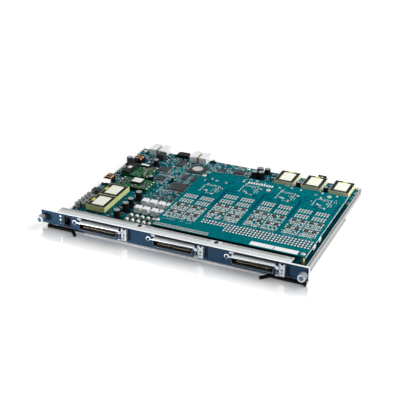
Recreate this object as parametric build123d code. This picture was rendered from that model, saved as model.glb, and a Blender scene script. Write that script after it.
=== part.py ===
"""Line card of a telecom access switch: tray, main board, daughter board, front panel with three
50 way telco sockets, wire bails, captive thumbscrews and ejector levers.

Millimetres. X runs along the front panel to the right, Y from the front panel to the back, Z up.
The origin is the centre of the tray's underside, the face that the card lies on.
"""
from build123d import *
import os

os.makedirs("parts", exist_ok=True)

# Front panel
PANEL_W = 430.0
PANEL_H = 26.5
PANEL_T = 3.0
PANEL_EDGE = 0.4
NOTCH_W = 58.0
NOTCH_H = 4.4

# Sheet tray under the boards
TRAY_INSET = 16.5
TRAY_W = PANEL_W - 2 * TRAY_INSET
TRAY_D = 308.0
TRAY_SHIFT = 2.0
SHEET = 1.0
TRAY_LIP = 6.2
TRAY_FRONT_LIP = 4.2
PILLAR_H = 1.8
PILLAR_R = 3.0

# Boards; their plan is laid out in steps, and a step is a millimetre at the drawn size
BOARD_T = 1.6
BOARD_GAP = 0.3
BOARD_W = TRAY_W - 2 * (SHEET + BOARD_GAP)
BOARD_D = TRAY_D - SHEET - BOARD_GAP
BOARD_STEPS = (394.4, 306.7)
STEP_X = BOARD_W / BOARD_STEPS[0]
STEP_Y = BOARD_D / BOARD_STEPS[1]
STEP_R = min(STEP_X, STEP_Y)
DAUGHTER_W = 244.4 * STEP_X
DAUGHTER_D = 208.0 * STEP_Y
DAUGHTER_RIGHT = 1.4 * STEP_X
DAUGHTER_FRONT = 31.4 * STEP_Y
DAUGHTER_NOTCH_W = 17.0 * STEP_X
DAUGHTER_NOTCH_D = 20.0 * STEP_Y
STANDOFF_H = 14.0
STANDOFF_AF = 5.5
SCREW_R = 1.5
HEAD_R = 3.7
HEAD_H = 2.0

# Top flange and its spring finger strip
FLANGE_LEFT = 26.7
FLANGE_RIGHT = 28.0
FLANGE_DEPTH = 15.4
FLANGE_DROP = 0.3
FLANGE_T = 1.2
FLANGE_LEG = 2.2
FLANGE_HOLE_R = 2.2
FLANGE_HOLE_Y = 10.8
FLANGE_HOLES = (-0.1235 * PANEL_W, 0.1637 * PANEL_W)
FINGER_PITCH = 6.0
FINGER_W = 5.0
FINGER_DEPTH = 5.6
FINGER_RISE = 0.7
FINGER_T = 0.25
FINGER_REAR_MARGIN = 0.3
FINGER_CLEAR = 9.0

# Telco sockets, seen from the front as three D shaped mouths
TELCO_COUNT = 3
TELCO_Z = 0.57 * PANEL_H
TELCO_W = 66.5
TELCO_H = 12.2
TELCO_TAPER = 2.4
TELCO_WALL = 0.7
TELCO_OUT = 7.3
TELCO_FLANGE_W = TELCO_W + 23.5
TELCO_FLANGE_H = 0.62 * PANEL_H
TELCO_FLANGE_T = 1.0
TELCO_BODY_W = TELCO_W + 5.5
TELCO_BODY_H = 0.6264 * PANEL_H
TELCO_BODY_D = 22.0
TELCO_SLOT_W = TELCO_W - 6.5
TELCO_SLOT_H = 6.4
TELCO_SLOT_D = 12.0
TELCO_RECESS = 0.6
TELCO_SLIT_H = 2.6
TELCO_SLIT_LEFT = 4.0
TELCO_SLIT_RIGHT = 0.8
CONTACT_COUNT = 25
CONTACT_PITCH = (TELCO_SLOT_W - 6.0) / CONTACT_COUNT
CONTACT_W = 1.2
CONTACT_T = 0.3
CONTACT_L = 8.0
FIT = 0.05
CLEAR = 0.3

# Wire bail over each socket, its bracket and the hook at the far end
WIRE_R = 0.8
LOOP_R = 3.0
BAIL_PIVOT_X = TELCO_W / 2 + 3.95
BAIL_LOOP_X = -TELCO_W / 2 - 4.95
BAIL_OVER = 0.7
BAIL_DROP = 1.6
BAIL_FRONT = 0.3
BRACKET_W = 8.6
BRACKET_H = 0.7245 * PANEL_H
BRACKET_Z = 0.6189 * PANEL_H
BRACKET_OUT = 6.0
BRACKET_T = 1.0
BRACKET_LEFT = BAIL_PIVOT_X + 2.2
BRACKET_NOTCH_R = 2.4
BRACKET_WAIST_R = 1.3
BRACKET_HOLE_R = 1.5
EAR_T = 1.4
EAR_R = 2.4
HOOK_X = -TELCO_W / 2 - 3.25
HOOK_W = 6.0
HOOK_GAP = 0.4
HOOK_OUT = 3.4
RUN_FIT = 0.06

# Console jack and indicator lights beside the left thumbscrew
JACK_X = 46.0
JACK_Z = 0.551 * PANEL_H
JACK_W = 11.4
JACK_H = 0.687 * PANEL_H
JACK_D = 18.0
JACK_MOUTH_W = 8.4
JACK_MOUTH_H = 11.8
JACK_MOUTH_D = 13.0
JACK_LATCH_W = 2.0
JACK_LATCH_H = 5.4
JACK_SET_BACK = 0.6
LIGHT_X = 34.0
LIGHT_TOP_Z = 0.8 * PANEL_H
LIGHT_PITCH = 0.2245 * PANEL_H
LIGHT_COUNT = 3
LIGHT_R = 1.3
LIGHT_L = 12.0
LIGHT_OUT = 0.5
LIGHT_HOLDER_W = 5.0
LIGHT_HOLDER_D = 7.0

# Captive thumbscrews at the panel ends
SCREW_EDGE = 6.0
SCREW_Z = 0.6113 * PANEL_H
FERRULE_R = 4.2
FERRULE_BORE_R = 2.6
FERRULE_OUT = 5.4
FERRULE_BACK = 0.8
KNOB_R = 5.9
KNOB_L = 9.5
KNOB_GAP = 0.3
KNOB_CUP_R = 4.7
KNOB_CUP_D = 5.2
SHANK_R = 2.0
SHANK_TAIL = 7.0
GROOVE_R = 1.5
COLLAR_R = 3.6
COLLAR_T = 0.8
GROOVE_SIDE = 0.1

# Ejector levers under the panel ends
LEVER_T = 3.4
LEVER_Z = 0.5
LEVER_PIVOT_EDGE = 9.0
LEVER_PIVOT_Y = 11.0
LEVER_LOBE_R = 4.4
LEVER_NECK_W = 6.8
LEVER_REACH = 54.5
LEVER_START_LEFT = 12.0
LEVER_START_RIGHT = 2.1
LEVER_ARM_W = 4.4
LEVER_FINGER = 15.0
LEVER_FINGER_W = 4.2
LEVER_FACE_GAP = 0.9
LEVER_HEEL = 3.6
LEVER_HEEL_OUT = 1.2
LEVER_PIN_R = 1.8
LEVER_HEAD_R = 2.8
LEVER_HEAD_H = 0.35
EAR_PLATE_T = 1.4
EAR_PLATE_W = 10.6
EAR_PLATE_D = LEVER_PIVOT_Y - PANEL_T + 5.6
EAR_PLATE_CLEAR = 0.7

# Derived levels and lines
X_PANEL = -TRAY_SHIFT
Y_BACK = -TRAY_D / 2
Y_FACE = Y_BACK - PANEL_T
X_LEFT_END = X_PANEL - PANEL_W / 2
X_RIGHT_END = X_PANEL + PANEL_W / 2
BOARD_LEFT = -BOARD_W / 2
BOARD_RIGHT = BOARD_W / 2
BOARD_FRONT = Y_BACK + SHEET + BOARD_GAP
BOARD_REAR = BOARD_FRONT + BOARD_D
BOARD_Z = SHEET + PILLAR_H
TOP_Z = BOARD_Z + BOARD_T
DECK_Z = TOP_Z + STANDOFF_H
DECK_TOP = DECK_Z + BOARD_T
DECK_RIGHT = BOARD_RIGHT - DAUGHTER_RIGHT
DECK_LEFT = DECK_RIGHT - DAUGHTER_W
DECK_FRONT = BOARD_FRONT + DAUGHTER_FRONT
DECK_REAR = DECK_FRONT + DAUGHTER_D
FLANGE_TOP = PANEL_H - FLANGE_DROP
TELCO_FIRST = X_LEFT_END + JACK_X + JACK_W / 2 + TELCO_FLANGE_W / 2 + 4.8
TELCO_LAST = X_RIGHT_END - SCREW_EDGE - KNOB_R - 0.1614 * PANEL_W
TELCO_PITCH = (TELCO_LAST - TELCO_FIRST) / (TELCO_COUNT - 1)
TELCO_X = [TELCO_FIRST + k * TELCO_PITCH for k in range(TELCO_COUNT)]
WIRE_Z = TELCO_Z + TELCO_H / 2 + BAIL_OVER + WIRE_R
WIRE_Y = Y_FACE - TELCO_OUT - BAIL_FRONT - WIRE_R

LOW = (Align.CENTER, Align.CENTER, Align.MIN)
CORNER = (Align.MIN, Align.MIN, Align.MIN)


def block(x0, x1, y0, y1, z0, z1):
    """A box between two corners."""
    return Pos(x0, y0, z0) * Box(x1 - x0, y1 - y0, z1 - z0, align=CORNER)


def pad(x, y, z, w, d, h):
    """A box standing on height z, centred on x and y."""
    return Pos(x, y, z) * Box(w, d, h, align=LOW)


def post(x, y, z, r, h):
    """An upright cylinder standing on height z."""
    return Pos(x, y, z) * Cylinder(r, h, align=LOW)


def rod_y(x, y, z, r, length):
    """A cylinder that starts at y and runs towards the back."""
    return Pos(x, y, z) * Rot(-90, 0, 0) * Cylinder(r, length, align=LOW)


def from_front(sketch, y_rear, depth):
    """A solid with its outline in the XZ plane, from y_rear forwards by depth."""
    return extrude(Plane.XZ.offset(-y_rear) * sketch, amount=depth)


def on_left(x, y):
    """A board place in steps from the board's front left corner."""
    return BOARD_LEFT + x * STEP_X, BOARD_FRONT + y * STEP_Y


def at_rear_left(x, y):
    """A board place in steps from the left edge and forwards from the rear edge."""
    return BOARD_LEFT + x * STEP_X, BOARD_REAR - y * STEP_Y


def at_rear_right(x, y):
    """A board place in steps from the right edge and forwards from the rear edge."""
    return BOARD_RIGHT - x * STEP_X, BOARD_REAR - y * STEP_Y


def save(name, *solids):
    """Writes one node, a single solid or a group of separate ones."""
    shape = solids[0] if len(solids) == 1 else Compound(list(solids))
    export_step(shape, f"parts/{name}.step")


# Screw places: the daughter board's five posts, then the main board's own screws
DECK_SCREWS = [
    (DECK_RIGHT - 5.9 * STEP_X, DECK_FRONT + 6.3 * STEP_Y),
    (DECK_LEFT + 4.2 * STEP_X, DECK_FRONT + 16.1 * STEP_Y),
    (DECK_LEFT + 6.0 * STEP_X, DECK_REAR - DAUGHTER_NOTCH_D - 2.5 * STEP_Y),
    (DECK_LEFT + 121.2 * STEP_X, DECK_REAR - 30.8 * STEP_Y),
    (DECK_RIGHT - 27.1 * STEP_X, DECK_REAR - 13.9 * STEP_Y),
]
EDGE_SCREWS = [
    on_left(6.5, 40.0),
    at_rear_left(6.5, 10.0),
    at_rear_left(200.0, 6.5),
    at_rear_right(4.2, 4.2),
]


def d_outline(width, height, taper, radius):
    """The D of a telco socket: a long trapezium, wide at the top, with round corners."""
    half = width / 2
    line = Polyline(
        (-half, height / 2),
        (half, height / 2),
        (half - taper, -height / 2),
        (-half + taper, -height / 2),
        close=True,
    )
    face = make_face(line)
    return fillet(face.vertices(), radius)


def telco_d(grow):
    """The socket's D, made larger or smaller all round."""
    return d_outline(TELCO_W + 2 * grow, TELCO_H + 2 * grow, TELCO_TAPER, 1.5)


def telco_slit(x):
    """The slit that the panel leaves open above a socket's shell."""
    width = TELCO_W - TELCO_SLIT_LEFT - TELCO_SLIT_RIGHT
    height = TELCO_H / 2 + TELCO_SLIT_H
    return Pos(x + (TELCO_SLIT_LEFT - TELCO_SLIT_RIGHT) / 2, TELCO_Z + height / 2) * Rectangle(width, height)


def front_panel():
    """A plate with recesses for the levers and cut-outs for every port."""
    half = PANEL_W / 2
    inner = half - NOTCH_W
    line = Polyline(
        (-half, NOTCH_H),
        (-half, PANEL_H),
        (half, PANEL_H),
        (half, NOTCH_H),
        (inner, NOTCH_H),
        (inner, 0),
        (-inner, 0),
        (-inner, NOTCH_H),
        close=True,
    )
    plate = from_front(Pos(X_PANEL, 0) * make_face(line), Y_BACK, PANEL_T)
    front = plate.faces().sort_by(Axis.Y)[0]
    plate = chamfer(front.outer_wire().edges(), PANEL_EDGE)
    cuts = [Pos(x, TELCO_Z) * telco_d(CLEAR) for x in TELCO_X]
    cuts += [telco_slit(x) for x in TELCO_X]
    cuts.append(Pos(X_LEFT_END + JACK_X, JACK_Z) * Rectangle(JACK_W + 2 * FIT, JACK_H + 2 * FIT))
    for z in light_heights():
        cuts.append(Pos(X_LEFT_END + LIGHT_X, z) * Circle(LIGHT_R + FIT))
    for x in screw_axes():
        cuts.append(Pos(x, SCREW_Z) * Circle(FERRULE_R))
    for cut in cuts:
        plate -= from_front(cut, Y_BACK + CLEAR, PANEL_T + 2 * CLEAR)
    return plate


def light_heights():
    """Heights of the indicator lights, from the top one down."""
    return [LIGHT_TOP_Z - k * LIGHT_PITCH for k in range(LIGHT_COUNT)]


def screw_axes():
    """X of the two thumbscrews."""
    return X_LEFT_END + SCREW_EDGE, X_RIGHT_END - SCREW_EDGE


def base_tray():
    """A folded sheet: floor, two side lips and a low front lip behind the panel."""
    tray = block(-TRAY_W / 2, TRAY_W / 2, Y_BACK, -Y_BACK, 0, SHEET)
    tray += block(-TRAY_W / 2, -TRAY_W / 2 + SHEET, Y_BACK, -Y_BACK, 0, TRAY_LIP)
    tray += block(TRAY_W / 2 - SHEET, TRAY_W / 2, Y_BACK, -Y_BACK, 0, TRAY_LIP)
    tray += block(-TRAY_W / 2, TRAY_W / 2, Y_BACK, Y_BACK + SHEET, 0, TRAY_FRONT_LIP)
    return tray


def top_flange():
    """An angle strip behind the panel's top edge, with two holes."""
    x0 = X_LEFT_END + FLANGE_LEFT
    x1 = X_RIGHT_END - FLANGE_RIGHT
    strip = block(x0, x1, Y_BACK, Y_BACK + FLANGE_DEPTH, FLANGE_TOP - FLANGE_T, FLANGE_TOP)
    strip += block(x0, x1, Y_BACK, Y_BACK + FLANGE_T, FLANGE_TOP - FLANGE_LEG, FLANGE_TOP)
    for x in FLANGE_HOLES:
        strip -= post(X_PANEL + x, Y_BACK + FLANGE_HOLE_Y, FLANGE_TOP - FLANGE_LEG, FLANGE_HOLE_R, FLANGE_LEG)
    return strip


def finger_strips():
    """Three lengths of spring fingers on the flange, parted at its holes."""
    rear = Y_BACK + FLANGE_DEPTH - FINGER_REAR_MARGIN
    front = rear - FINGER_DEPTH
    crest_front = front + FINGER_DEPTH * 0.35
    crest_rear = rear - FINGER_DEPTH * 0.25
    top = FLANGE_TOP + FINGER_RISE
    outline = Polyline(
        (front, FLANGE_TOP),
        (crest_front, top),
        (crest_rear, top),
        (rear, FLANGE_TOP + FINGER_T),
        (rear, FLANGE_TOP),
        (crest_rear, top - FINGER_T),
        (crest_front, top - FINGER_T),
        (front + 2 * FINGER_T, FLANGE_TOP),
        close=True,
    )
    x0 = X_LEFT_END + FLANGE_LEFT
    x1 = X_RIGHT_END - FLANGE_RIGHT
    holes = [X_PANEL + x for x in FLANGE_HOLES]
    starts = [x0 + 1.0] + [x + FINGER_CLEAR for x in holes]
    ends = [x - FINGER_CLEAR for x in holes] + [x1 - 1.0]
    strips = []
    for start, end in zip(starts, ends):
        strip = extrude(Plane.YZ.offset(start) * make_face(outline), amount=end - start)
        count = int((end - start) / FINGER_PITCH)
        for k in range(1, count):
            x = start + k * FINGER_PITCH
            gap = FINGER_PITCH - FINGER_W
            strip -= block(x, x + gap, front + 1.2, rear + 1, FLANGE_TOP - 1, top + 1)
        strips.append(strip)
    return strips


def main_board():
    """The main board with its screw holes."""
    board = block(BOARD_LEFT, BOARD_RIGHT, BOARD_FRONT, BOARD_REAR, BOARD_Z, TOP_Z)
    for x, y in DECK_SCREWS + EDGE_SCREWS:
        board -= post(x, y, BOARD_Z, SCREW_R, BOARD_T)
    return board


def daughter_board():
    """The raised board, with its rear left corner cut off."""
    line = Polyline(
        (DECK_LEFT, DECK_FRONT),
        (DECK_RIGHT, DECK_FRONT),
        (DECK_RIGHT, DECK_REAR),
        (DECK_LEFT + DAUGHTER_NOTCH_W, DECK_REAR),
        (DECK_LEFT, DECK_REAR - DAUGHTER_NOTCH_D),
        close=True,
    )
    board = extrude(Plane.XY.offset(DECK_Z) * make_face(line), amount=BOARD_T)
    for x, y in DECK_SCREWS:
        board -= post(x, y, DECK_Z, SCREW_R, BOARD_T)
    return board


def standoff(x, y):
    """A hexagonal brass post."""
    hexagon = RegularPolygon(STANDOFF_AF / 2, 6, major_radius=False)
    return extrude(Pos(x, y, TOP_Z) * hexagon, amount=STANDOFF_H)


def pan_screw(x, y, z, length):
    """A round headed screw whose head rests on z, with its shank below."""
    head = post(x, y, z, HEAD_R, HEAD_H)
    head = fillet(head.edges().group_by(Axis.Z)[-1], HEAD_H * 0.6)
    return head + post(x, y, z - length, SCREW_R, length)


def telco_shell(x):
    """The socket's metal shell: a flange behind the panel and a D tube through it."""
    at = Pos(x, TELCO_Z)
    flange = fillet(Rectangle(TELCO_FLANGE_W, TELCO_FLANGE_H).vertices(), 1.5)
    shell = from_front(at * flange, Y_BACK + TELCO_FLANGE_T, TELCO_FLANGE_T)
    shell += from_front(at * telco_d(0), Y_BACK, PANEL_T + TELCO_OUT)
    length = PANEL_T + TELCO_OUT + TELCO_FLANGE_T
    return shell - from_front(at * telco_d(-TELCO_WALL), Y_BACK + TELCO_FLANGE_T, length)


def telco_body(x):
    """The socket's insulator: a D nose in the shell, a block on the board, a slot for the plug."""
    at = Pos(x, TELCO_Z)
    front = Y_FACE - TELCO_OUT + TELCO_RECESS
    rear = Y_BACK + TELCO_FLANGE_T
    nose = from_front(at * telco_d(-TELCO_WALL - FIT), rear, rear - front)
    half = TELCO_BODY_W / 2
    top = TOP_Z + TELCO_BODY_H
    body = nose + block(x - half, x + half, rear, rear + TELCO_BODY_D, TOP_Z, top)
    slot = at * Rectangle(TELCO_SLOT_W, TELCO_SLOT_H)
    return body - from_front(slot, front + TELCO_SLOT_D, TELCO_SLOT_D)


def telco_contacts(x):
    """Two rows of flat contacts on the slot's upper and lower walls."""
    y0 = Y_FACE - TELCO_OUT + TELCO_RECESS + 0.4
    low = TELCO_Z - TELCO_SLOT_H / 2
    high = TELCO_Z + TELCO_SLOT_H / 2 - CONTACT_T
    ribs = []
    for k in range(CONTACT_COUNT):
        cx = x + (k - (CONTACT_COUNT - 1) / 2) * CONTACT_PITCH
        for z in (low, high):
            ribs.append(block(cx - CONTACT_W / 2, cx + CONTACT_W / 2, y0, y0 + CONTACT_L, z, z + CONTACT_T))
    return ribs


def bail_bracket(x):
    """A stamped channel on the panel: crowned front plate, side walls and two ears for the wire."""
    x0 = x + BRACKET_LEFT
    x1 = x0 + BRACKET_W
    z0 = BRACKET_Z - BRACKET_H / 2
    z1 = BRACKET_Z + BRACKET_H / 2
    front = Y_FACE - BRACKET_OUT
    outline = Rectangle(BRACKET_W, BRACKET_H) - Pos(0, BRACKET_H / 2) * Circle(BRACKET_NOTCH_R)
    outline -= Circle(BRACKET_HOLE_R)
    outline -= Pos(0, -BRACKET_H * 0.25) * Circle(BRACKET_HOLE_R * 0.8)
    for side in (-1, 1):
        outline -= Pos(side * BRACKET_W / 2, BRACKET_H * 0.16) * Circle(BRACKET_WAIST_R)
    bracket = from_front(Pos((x0 + x1) / 2, BRACKET_Z) * outline, front + BRACKET_T, BRACKET_T)
    bracket += block(x0, x0 + BRACKET_T, front, Y_FACE, z0 + 2, z1 - 3)
    bracket += block(x1 - BRACKET_T, x1, front, Y_FACE, z0 + 2, z1 - 3)
    pivot = x + BAIL_PIVOT_X
    for z in (TELCO_Z - TELCO_H / 2, WIRE_Z - 2 * WIRE_R - EAR_T):
        ear = post(pivot, WIRE_Y, z, EAR_R, EAR_T)
        ear += block(pivot, x0 + BRACKET_T, WIRE_Y - EAR_R, Y_FACE - 1, z, z + EAR_T)
        bracket += ear - post(pivot, WIRE_Y, z, WIRE_R + RUN_FIT, EAR_T)
    return bracket


def hood_hook(x):
    """A bent tab on the panel above the socket's left end."""
    x0 = x + HOOK_X
    z1 = FLANGE_TOP - 1.0
    z0 = TELCO_Z + TELCO_H / 2 + HOOK_GAP
    tab = block(x0, x0 + HOOK_W, Y_FACE - 1.0, Y_FACE, z0, z1)
    tab += block(x0, x0 + HOOK_W, Y_FACE - HOOK_OUT, Y_FACE, z1 - 1.0, z1)
    return tab


def bail_wire(x):
    """A spring wire with a finger loop at the left and a pivot leg turned down at the right."""
    pivot = x + BAIL_PIVOT_X
    loop = x + BAIL_LOOP_X
    bend = 3 * WIRE_R
    foot = TELCO_Z - TELCO_H / 2 - EAR_T
    low = WIRE_Z - BAIL_DROP
    path = FilletPolyline(
        (loop + LOOP_R, WIRE_Y, low),
        (pivot, WIRE_Y, WIRE_Z),
        (pivot, WIRE_Y, foot),
        radius=bend / 2,
    )
    wire = sweep(Plane(path @ 0, z_dir=path % 0) * Circle(WIRE_R), path)
    ring = Pos(loop, WIRE_Y, low) * Rot(90, 0, 0) * Torus(LOOP_R, WIRE_R)
    return wire + ring


def console_jack():
    """The upright console jack: a block on the board with a mouth and a latch slot."""
    x = X_LEFT_END + JACK_X
    y0 = Y_FACE + JACK_SET_BACK
    top = JACK_Z + JACK_H / 2
    low = JACK_Z - JACK_H / 2
    jack = block(x - JACK_W / 2, x + JACK_W / 2, y0, y0 + JACK_D, low, top)
    jack += block(x - JACK_W / 2, x + JACK_W / 2, BOARD_FRONT, y0 + JACK_D, TOP_Z, top)
    left = x - JACK_W / 2 + 0.8
    half = JACK_MOUTH_H / 2
    right = left + JACK_MOUTH_W
    jack -= block(left, right, y0, y0 + JACK_MOUTH_D, JACK_Z - half, JACK_Z + half)
    half = JACK_LATCH_H / 2
    return jack - block(right, right + JACK_LATCH_W, y0, y0 + JACK_MOUTH_D, JACK_Z - half, JACK_Z + half)


def light_pipes():
    """Round light pipes through the panel, with domed tips."""
    pipes = []
    for z in light_heights():
        pipe = rod_y(X_LEFT_END + LIGHT_X, Y_FACE - LIGHT_OUT, z, LIGHT_R, LIGHT_L)
        pipes.append(fillet(pipe.edges().group_by(Axis.Y)[0], LIGHT_OUT))
    return pipes


def light_holder():
    """The block that holds the light pipes above the board."""
    x = X_LEFT_END + LIGHT_X
    y0 = Y_FACE - LIGHT_OUT + LIGHT_L
    top = LIGHT_TOP_Z + LIGHT_R + 1.0
    half = LIGHT_HOLDER_W / 2
    return block(x - half, x + half, y0, y0 + LIGHT_HOLDER_D, TOP_Z, top)


def ferrule(x):
    """The sleeve of a captive screw, pressed into the panel."""
    sleeve = rod_y(x, Y_FACE - FERRULE_OUT, SCREW_Z, FERRULE_R, FERRULE_OUT + PANEL_T + FERRULE_BACK)
    return sleeve - rod_y(x, Y_FACE - FERRULE_OUT, SCREW_Z, FERRULE_BORE_R, FERRULE_OUT + PANEL_T + FERRULE_BACK)


COLLAR_Y = Y_BACK + FERRULE_BACK + CLEAR


def collar(x):
    """The clip behind the panel that keeps the screw in its sleeve."""
    ring = rod_y(x, COLLAR_Y, SCREW_Z, COLLAR_R, COLLAR_T)
    return ring - rod_y(x, COLLAR_Y, SCREW_Z, GROOVE_R + RUN_FIT, COLLAR_T)


def thumbscrew(x):
    """Knob, shank and clip groove as one turned piece; the knob is hollow over the sleeve."""
    knob_rear = Y_FACE - FERRULE_OUT - KNOB_GAP
    knob_front = knob_rear - KNOB_L
    knob = rod_y(x, knob_front, SCREW_Z, KNOB_R, KNOB_L)
    knob = chamfer(knob.edges().group_by(Axis.Y)[0], 0.8)
    knob -= rod_y(x, knob_rear - KNOB_CUP_D, SCREW_Z, KNOB_CUP_R, KNOB_CUP_D)
    groove = COLLAR_Y - GROOVE_SIDE
    groove_l = COLLAR_T + 2 * GROOVE_SIDE
    shank = rod_y(x, knob_rear - KNOB_CUP_D, SCREW_Z, SHANK_R, groove - knob_rear + KNOB_CUP_D)
    shank += rod_y(x, groove, SCREW_Z, GROOVE_R, groove_l)
    shank += rod_y(x, groove + groove_l, SCREW_Z, SHANK_R, SHANK_TAIL)
    slot = pad(x, knob_front + 0.6, SCREW_Z - 0.6, 2 * KNOB_R * 0.62, 1.2, 1.2)
    return knob + shank - slot


def lever(side):
    """An ejector lever for one panel end: pivot lobe, neck, arm along the panel, finger bent outwards."""
    end = X_PANEL + side * PANEL_W / 2
    start = LEVER_START_LEFT if side < 0 else LEVER_START_RIGHT
    back = Y_FACE - LEVER_FACE_GAP
    front = back - LEVER_ARM_W
    pivot_y = Y_FACE + LEVER_PIVOT_Y
    neck = LEVER_NECK_W / 2
    lean = LEVER_FINGER * 0.72
    cross = LEVER_FINGER_W * 0.7
    tip = LEVER_REACH + lean

    def inward(distance):
        """X at a distance from the panel's end."""
        return end - side * distance

    line = Polyline(
        (inward(LEVER_PIVOT_EDGE - neck), pivot_y),
        (inward(start), back),
        (inward(start), front + 1.5),
        (inward(start + 1.5), front),
        (inward(LEVER_REACH), front),
        (inward(tip), front - lean),
        (inward(tip + cross), front - lean + cross),
        (inward(LEVER_REACH + cross), back),
        (inward(start + LEVER_NECK_W), back),
        (inward(LEVER_PIVOT_EDGE + neck), pivot_y),
        close=True,
    )
    centre = (inward(LEVER_PIVOT_EDGE), pivot_y)
    face = make_face(line) + Pos(*centre) * Circle(LEVER_LOBE_R)
    if side > 0:
        heel = Polyline(
            (inward(start), back),
            (inward(start - LEVER_HEEL_OUT), front - LEVER_HEEL),
            (inward(start + LEVER_HEEL), front - LEVER_HEEL * 0.4),
            (inward(start + 2 * LEVER_HEEL), back),
            close=True,
        )
        face += make_face(heel)
    plate = extrude(Plane.XY.offset(LEVER_Z) * face, amount=LEVER_T)
    plate = fillet(plate.edges().filter_by(Axis.Z).group_by(Axis.Y)[0], 0.8)
    return plate - post(*centre, LEVER_Z, LEVER_PIN_R + RUN_FIT, LEVER_T)


def lever_pivots():
    """Pivot centres of the two levers."""
    y = Y_FACE + LEVER_PIVOT_Y
    return (X_LEFT_END + LEVER_PIVOT_EDGE, y), (X_RIGHT_END - LEVER_PIVOT_EDGE, y)


EAR_PLATE_Z = LEVER_Z + LEVER_T + 0.6


def lever_bracket(x, y):
    """An angle behind the panel that carries a lever's pin."""
    half = EAR_PLATE_W / 2
    rear = Y_BACK + EAR_PLATE_D
    angle = block(x - half, x + half, Y_BACK, rear, EAR_PLATE_Z, EAR_PLATE_Z + EAR_PLATE_T)
    top = SCREW_Z - FERRULE_R - EAR_PLATE_CLEAR
    angle += block(x - half, x + half, Y_BACK, Y_BACK + EAR_PLATE_T, EAR_PLATE_Z, top)
    return angle - post(x, y, EAR_PLATE_Z, LEVER_PIN_R, EAR_PLATE_T)


def lever_pin(x, y):
    """A rivet: shank down through the lever with a flat head under it."""
    low = LEVER_Z - 0.1 - LEVER_HEAD_H
    shank = post(x, y, low, LEVER_PIN_R, EAR_PLATE_Z + EAR_PLATE_T - low)
    return shank + post(x, y, low, LEVER_HEAD_R, LEVER_HEAD_H)


# Transformers: ferrite frame, coil in its window, yellow tape round the frame, bobbin below
FERRITE_W = 33.0 * STEP_X
FERRITE_D = 41.0 * STEP_Y
FERRITE_H = 9.2
BOBBIN_H = 2.0
TAPE_T = 0.4
TAPE_LOW = 0.6
COIL_W = 20.5 * STEP_X
COIL_D = 29.0 * STEP_Y
COIL_PROUD = 0.6
TRANSFORMER_GAP = 1.2 * STEP_Y
FRONT_TRANSFORMER = on_left(39.9, 76.2)
REAR_TRANSFORMER_PITCH = 46.7 * STEP_X
REAR_TRANSFORMER = at_rear_right(23.6, 27.5)


def transformer_places():
    """Two transformers in a row at the front left, three along the rear edge."""
    x, y = FRONT_TRANSFORMER
    places = [(x, y + k * (FERRITE_D + TRANSFORMER_GAP)) for k in range(2)]
    x, y = REAR_TRANSFORMER
    return places + [(x - k * REAR_TRANSFORMER_PITCH, y) for k in range(3)]


def transformer_core(x, y):
    """The ferrite frame round the coil."""
    z = TOP_Z + BOBBIN_H
    core = pad(x, y, z, FERRITE_W - 2 * TAPE_T, FERRITE_D - 2 * TAPE_T, FERRITE_H)
    return core - pad(x, y, z, COIL_W, COIL_D, FERRITE_H)


def transformer_coil(x, y):
    """The taped coil in the window, standing a little proud with softened edges."""
    coil = pad(x, y, TOP_Z + BOBBIN_H, COIL_W, COIL_D, FERRITE_H + COIL_PROUD)
    return chamfer(coil.edges().group_by(Axis.Z)[-1], COIL_PROUD)


def transformer_tape(x, y):
    """The band of tape round the frame."""
    z = TOP_Z + BOBBIN_H + TAPE_LOW
    height = FERRITE_H - TAPE_LOW
    band = pad(x, y, z, FERRITE_W, FERRITE_D, height)
    return band - pad(x, y, z, FERRITE_W - 2 * TAPE_T, FERRITE_D - 2 * TAPE_T, height)


def transformer_bobbin(x, y):
    """The moulded foot with a row of pin lugs at each end."""
    foot = pad(x, y, TOP_Z + BOBBIN_H / 2, FERRITE_W - 3, FERRITE_D - 1, BOBBIN_H / 2)
    for side in (-1, 1):
        for k in range(5):
            lug_y = y + side * (FERRITE_D / 2 - 3)
            foot += pad(x + (k - 2) * FERRITE_W / 6, lug_y, TOP_Z, FERRITE_W / 11, 3.0, BOBBIN_H / 2)
    return foot


# Round cans: place, radius and height
def can_places():
    """Every electrolytic can on the main board, as x, y, radius in steps and height."""
    cans = [
        (*on_left(82.5, 122.2), 5.5, 15.2),
        (*on_left(81.7, 95.9), 5.5, 15.2),
        (*on_left(81.2, 79.7), 5.5, 15.2),
        (*on_left(80.4, 52.7), 5.5, 15.2),
        (*on_left(102.4, 204.2), 2.6, 8.0),
        (*on_left(69.5, 190.5), 4.4, 10.5),
        (*on_left(5.7, 237.1), 5.2, 14.0),
        (*on_left(50.0, 249.5), 5.0, 12.0),
        (*on_left(40.5, 241.5), 3.6, 8.5),
        (*at_rear_left(134.0, 5.0), 3.2, 4.5),
        (*at_rear_left(220.9, 32.9), 5.4, 12.5),
        (*at_rear_left(232.2, 30.5), 5.4, 12.5),
        (*at_rear_left(225.4, 16.6), 5.4, 12.5),
        (*at_rear_left(235.0, 8.0), 5.0, 9.0),
    ]
    x, y = REAR_TRANSFORMER
    half = REAR_TRANSFORMER_PITCH / 2
    cans += [(x - (2 * k + 1) * half, y - 13.0 * STEP_Y, 4.0, 12.0) for k in range(2)]
    return cans


def can(x, y, radius, height):
    """An electrolytic can with a crimped neck near its base."""
    neck = 0.35
    radius *= STEP_R
    body = post(x, y, TOP_Z, radius, 1.6) + post(x, y, TOP_Z + 1.6, radius - neck, 0.9)
    body += chamfer(post(x, y, TOP_Z + 2.5, radius, height - 2.5).edges().group_by(Axis.Z)[-1], neck)
    return body


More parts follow.
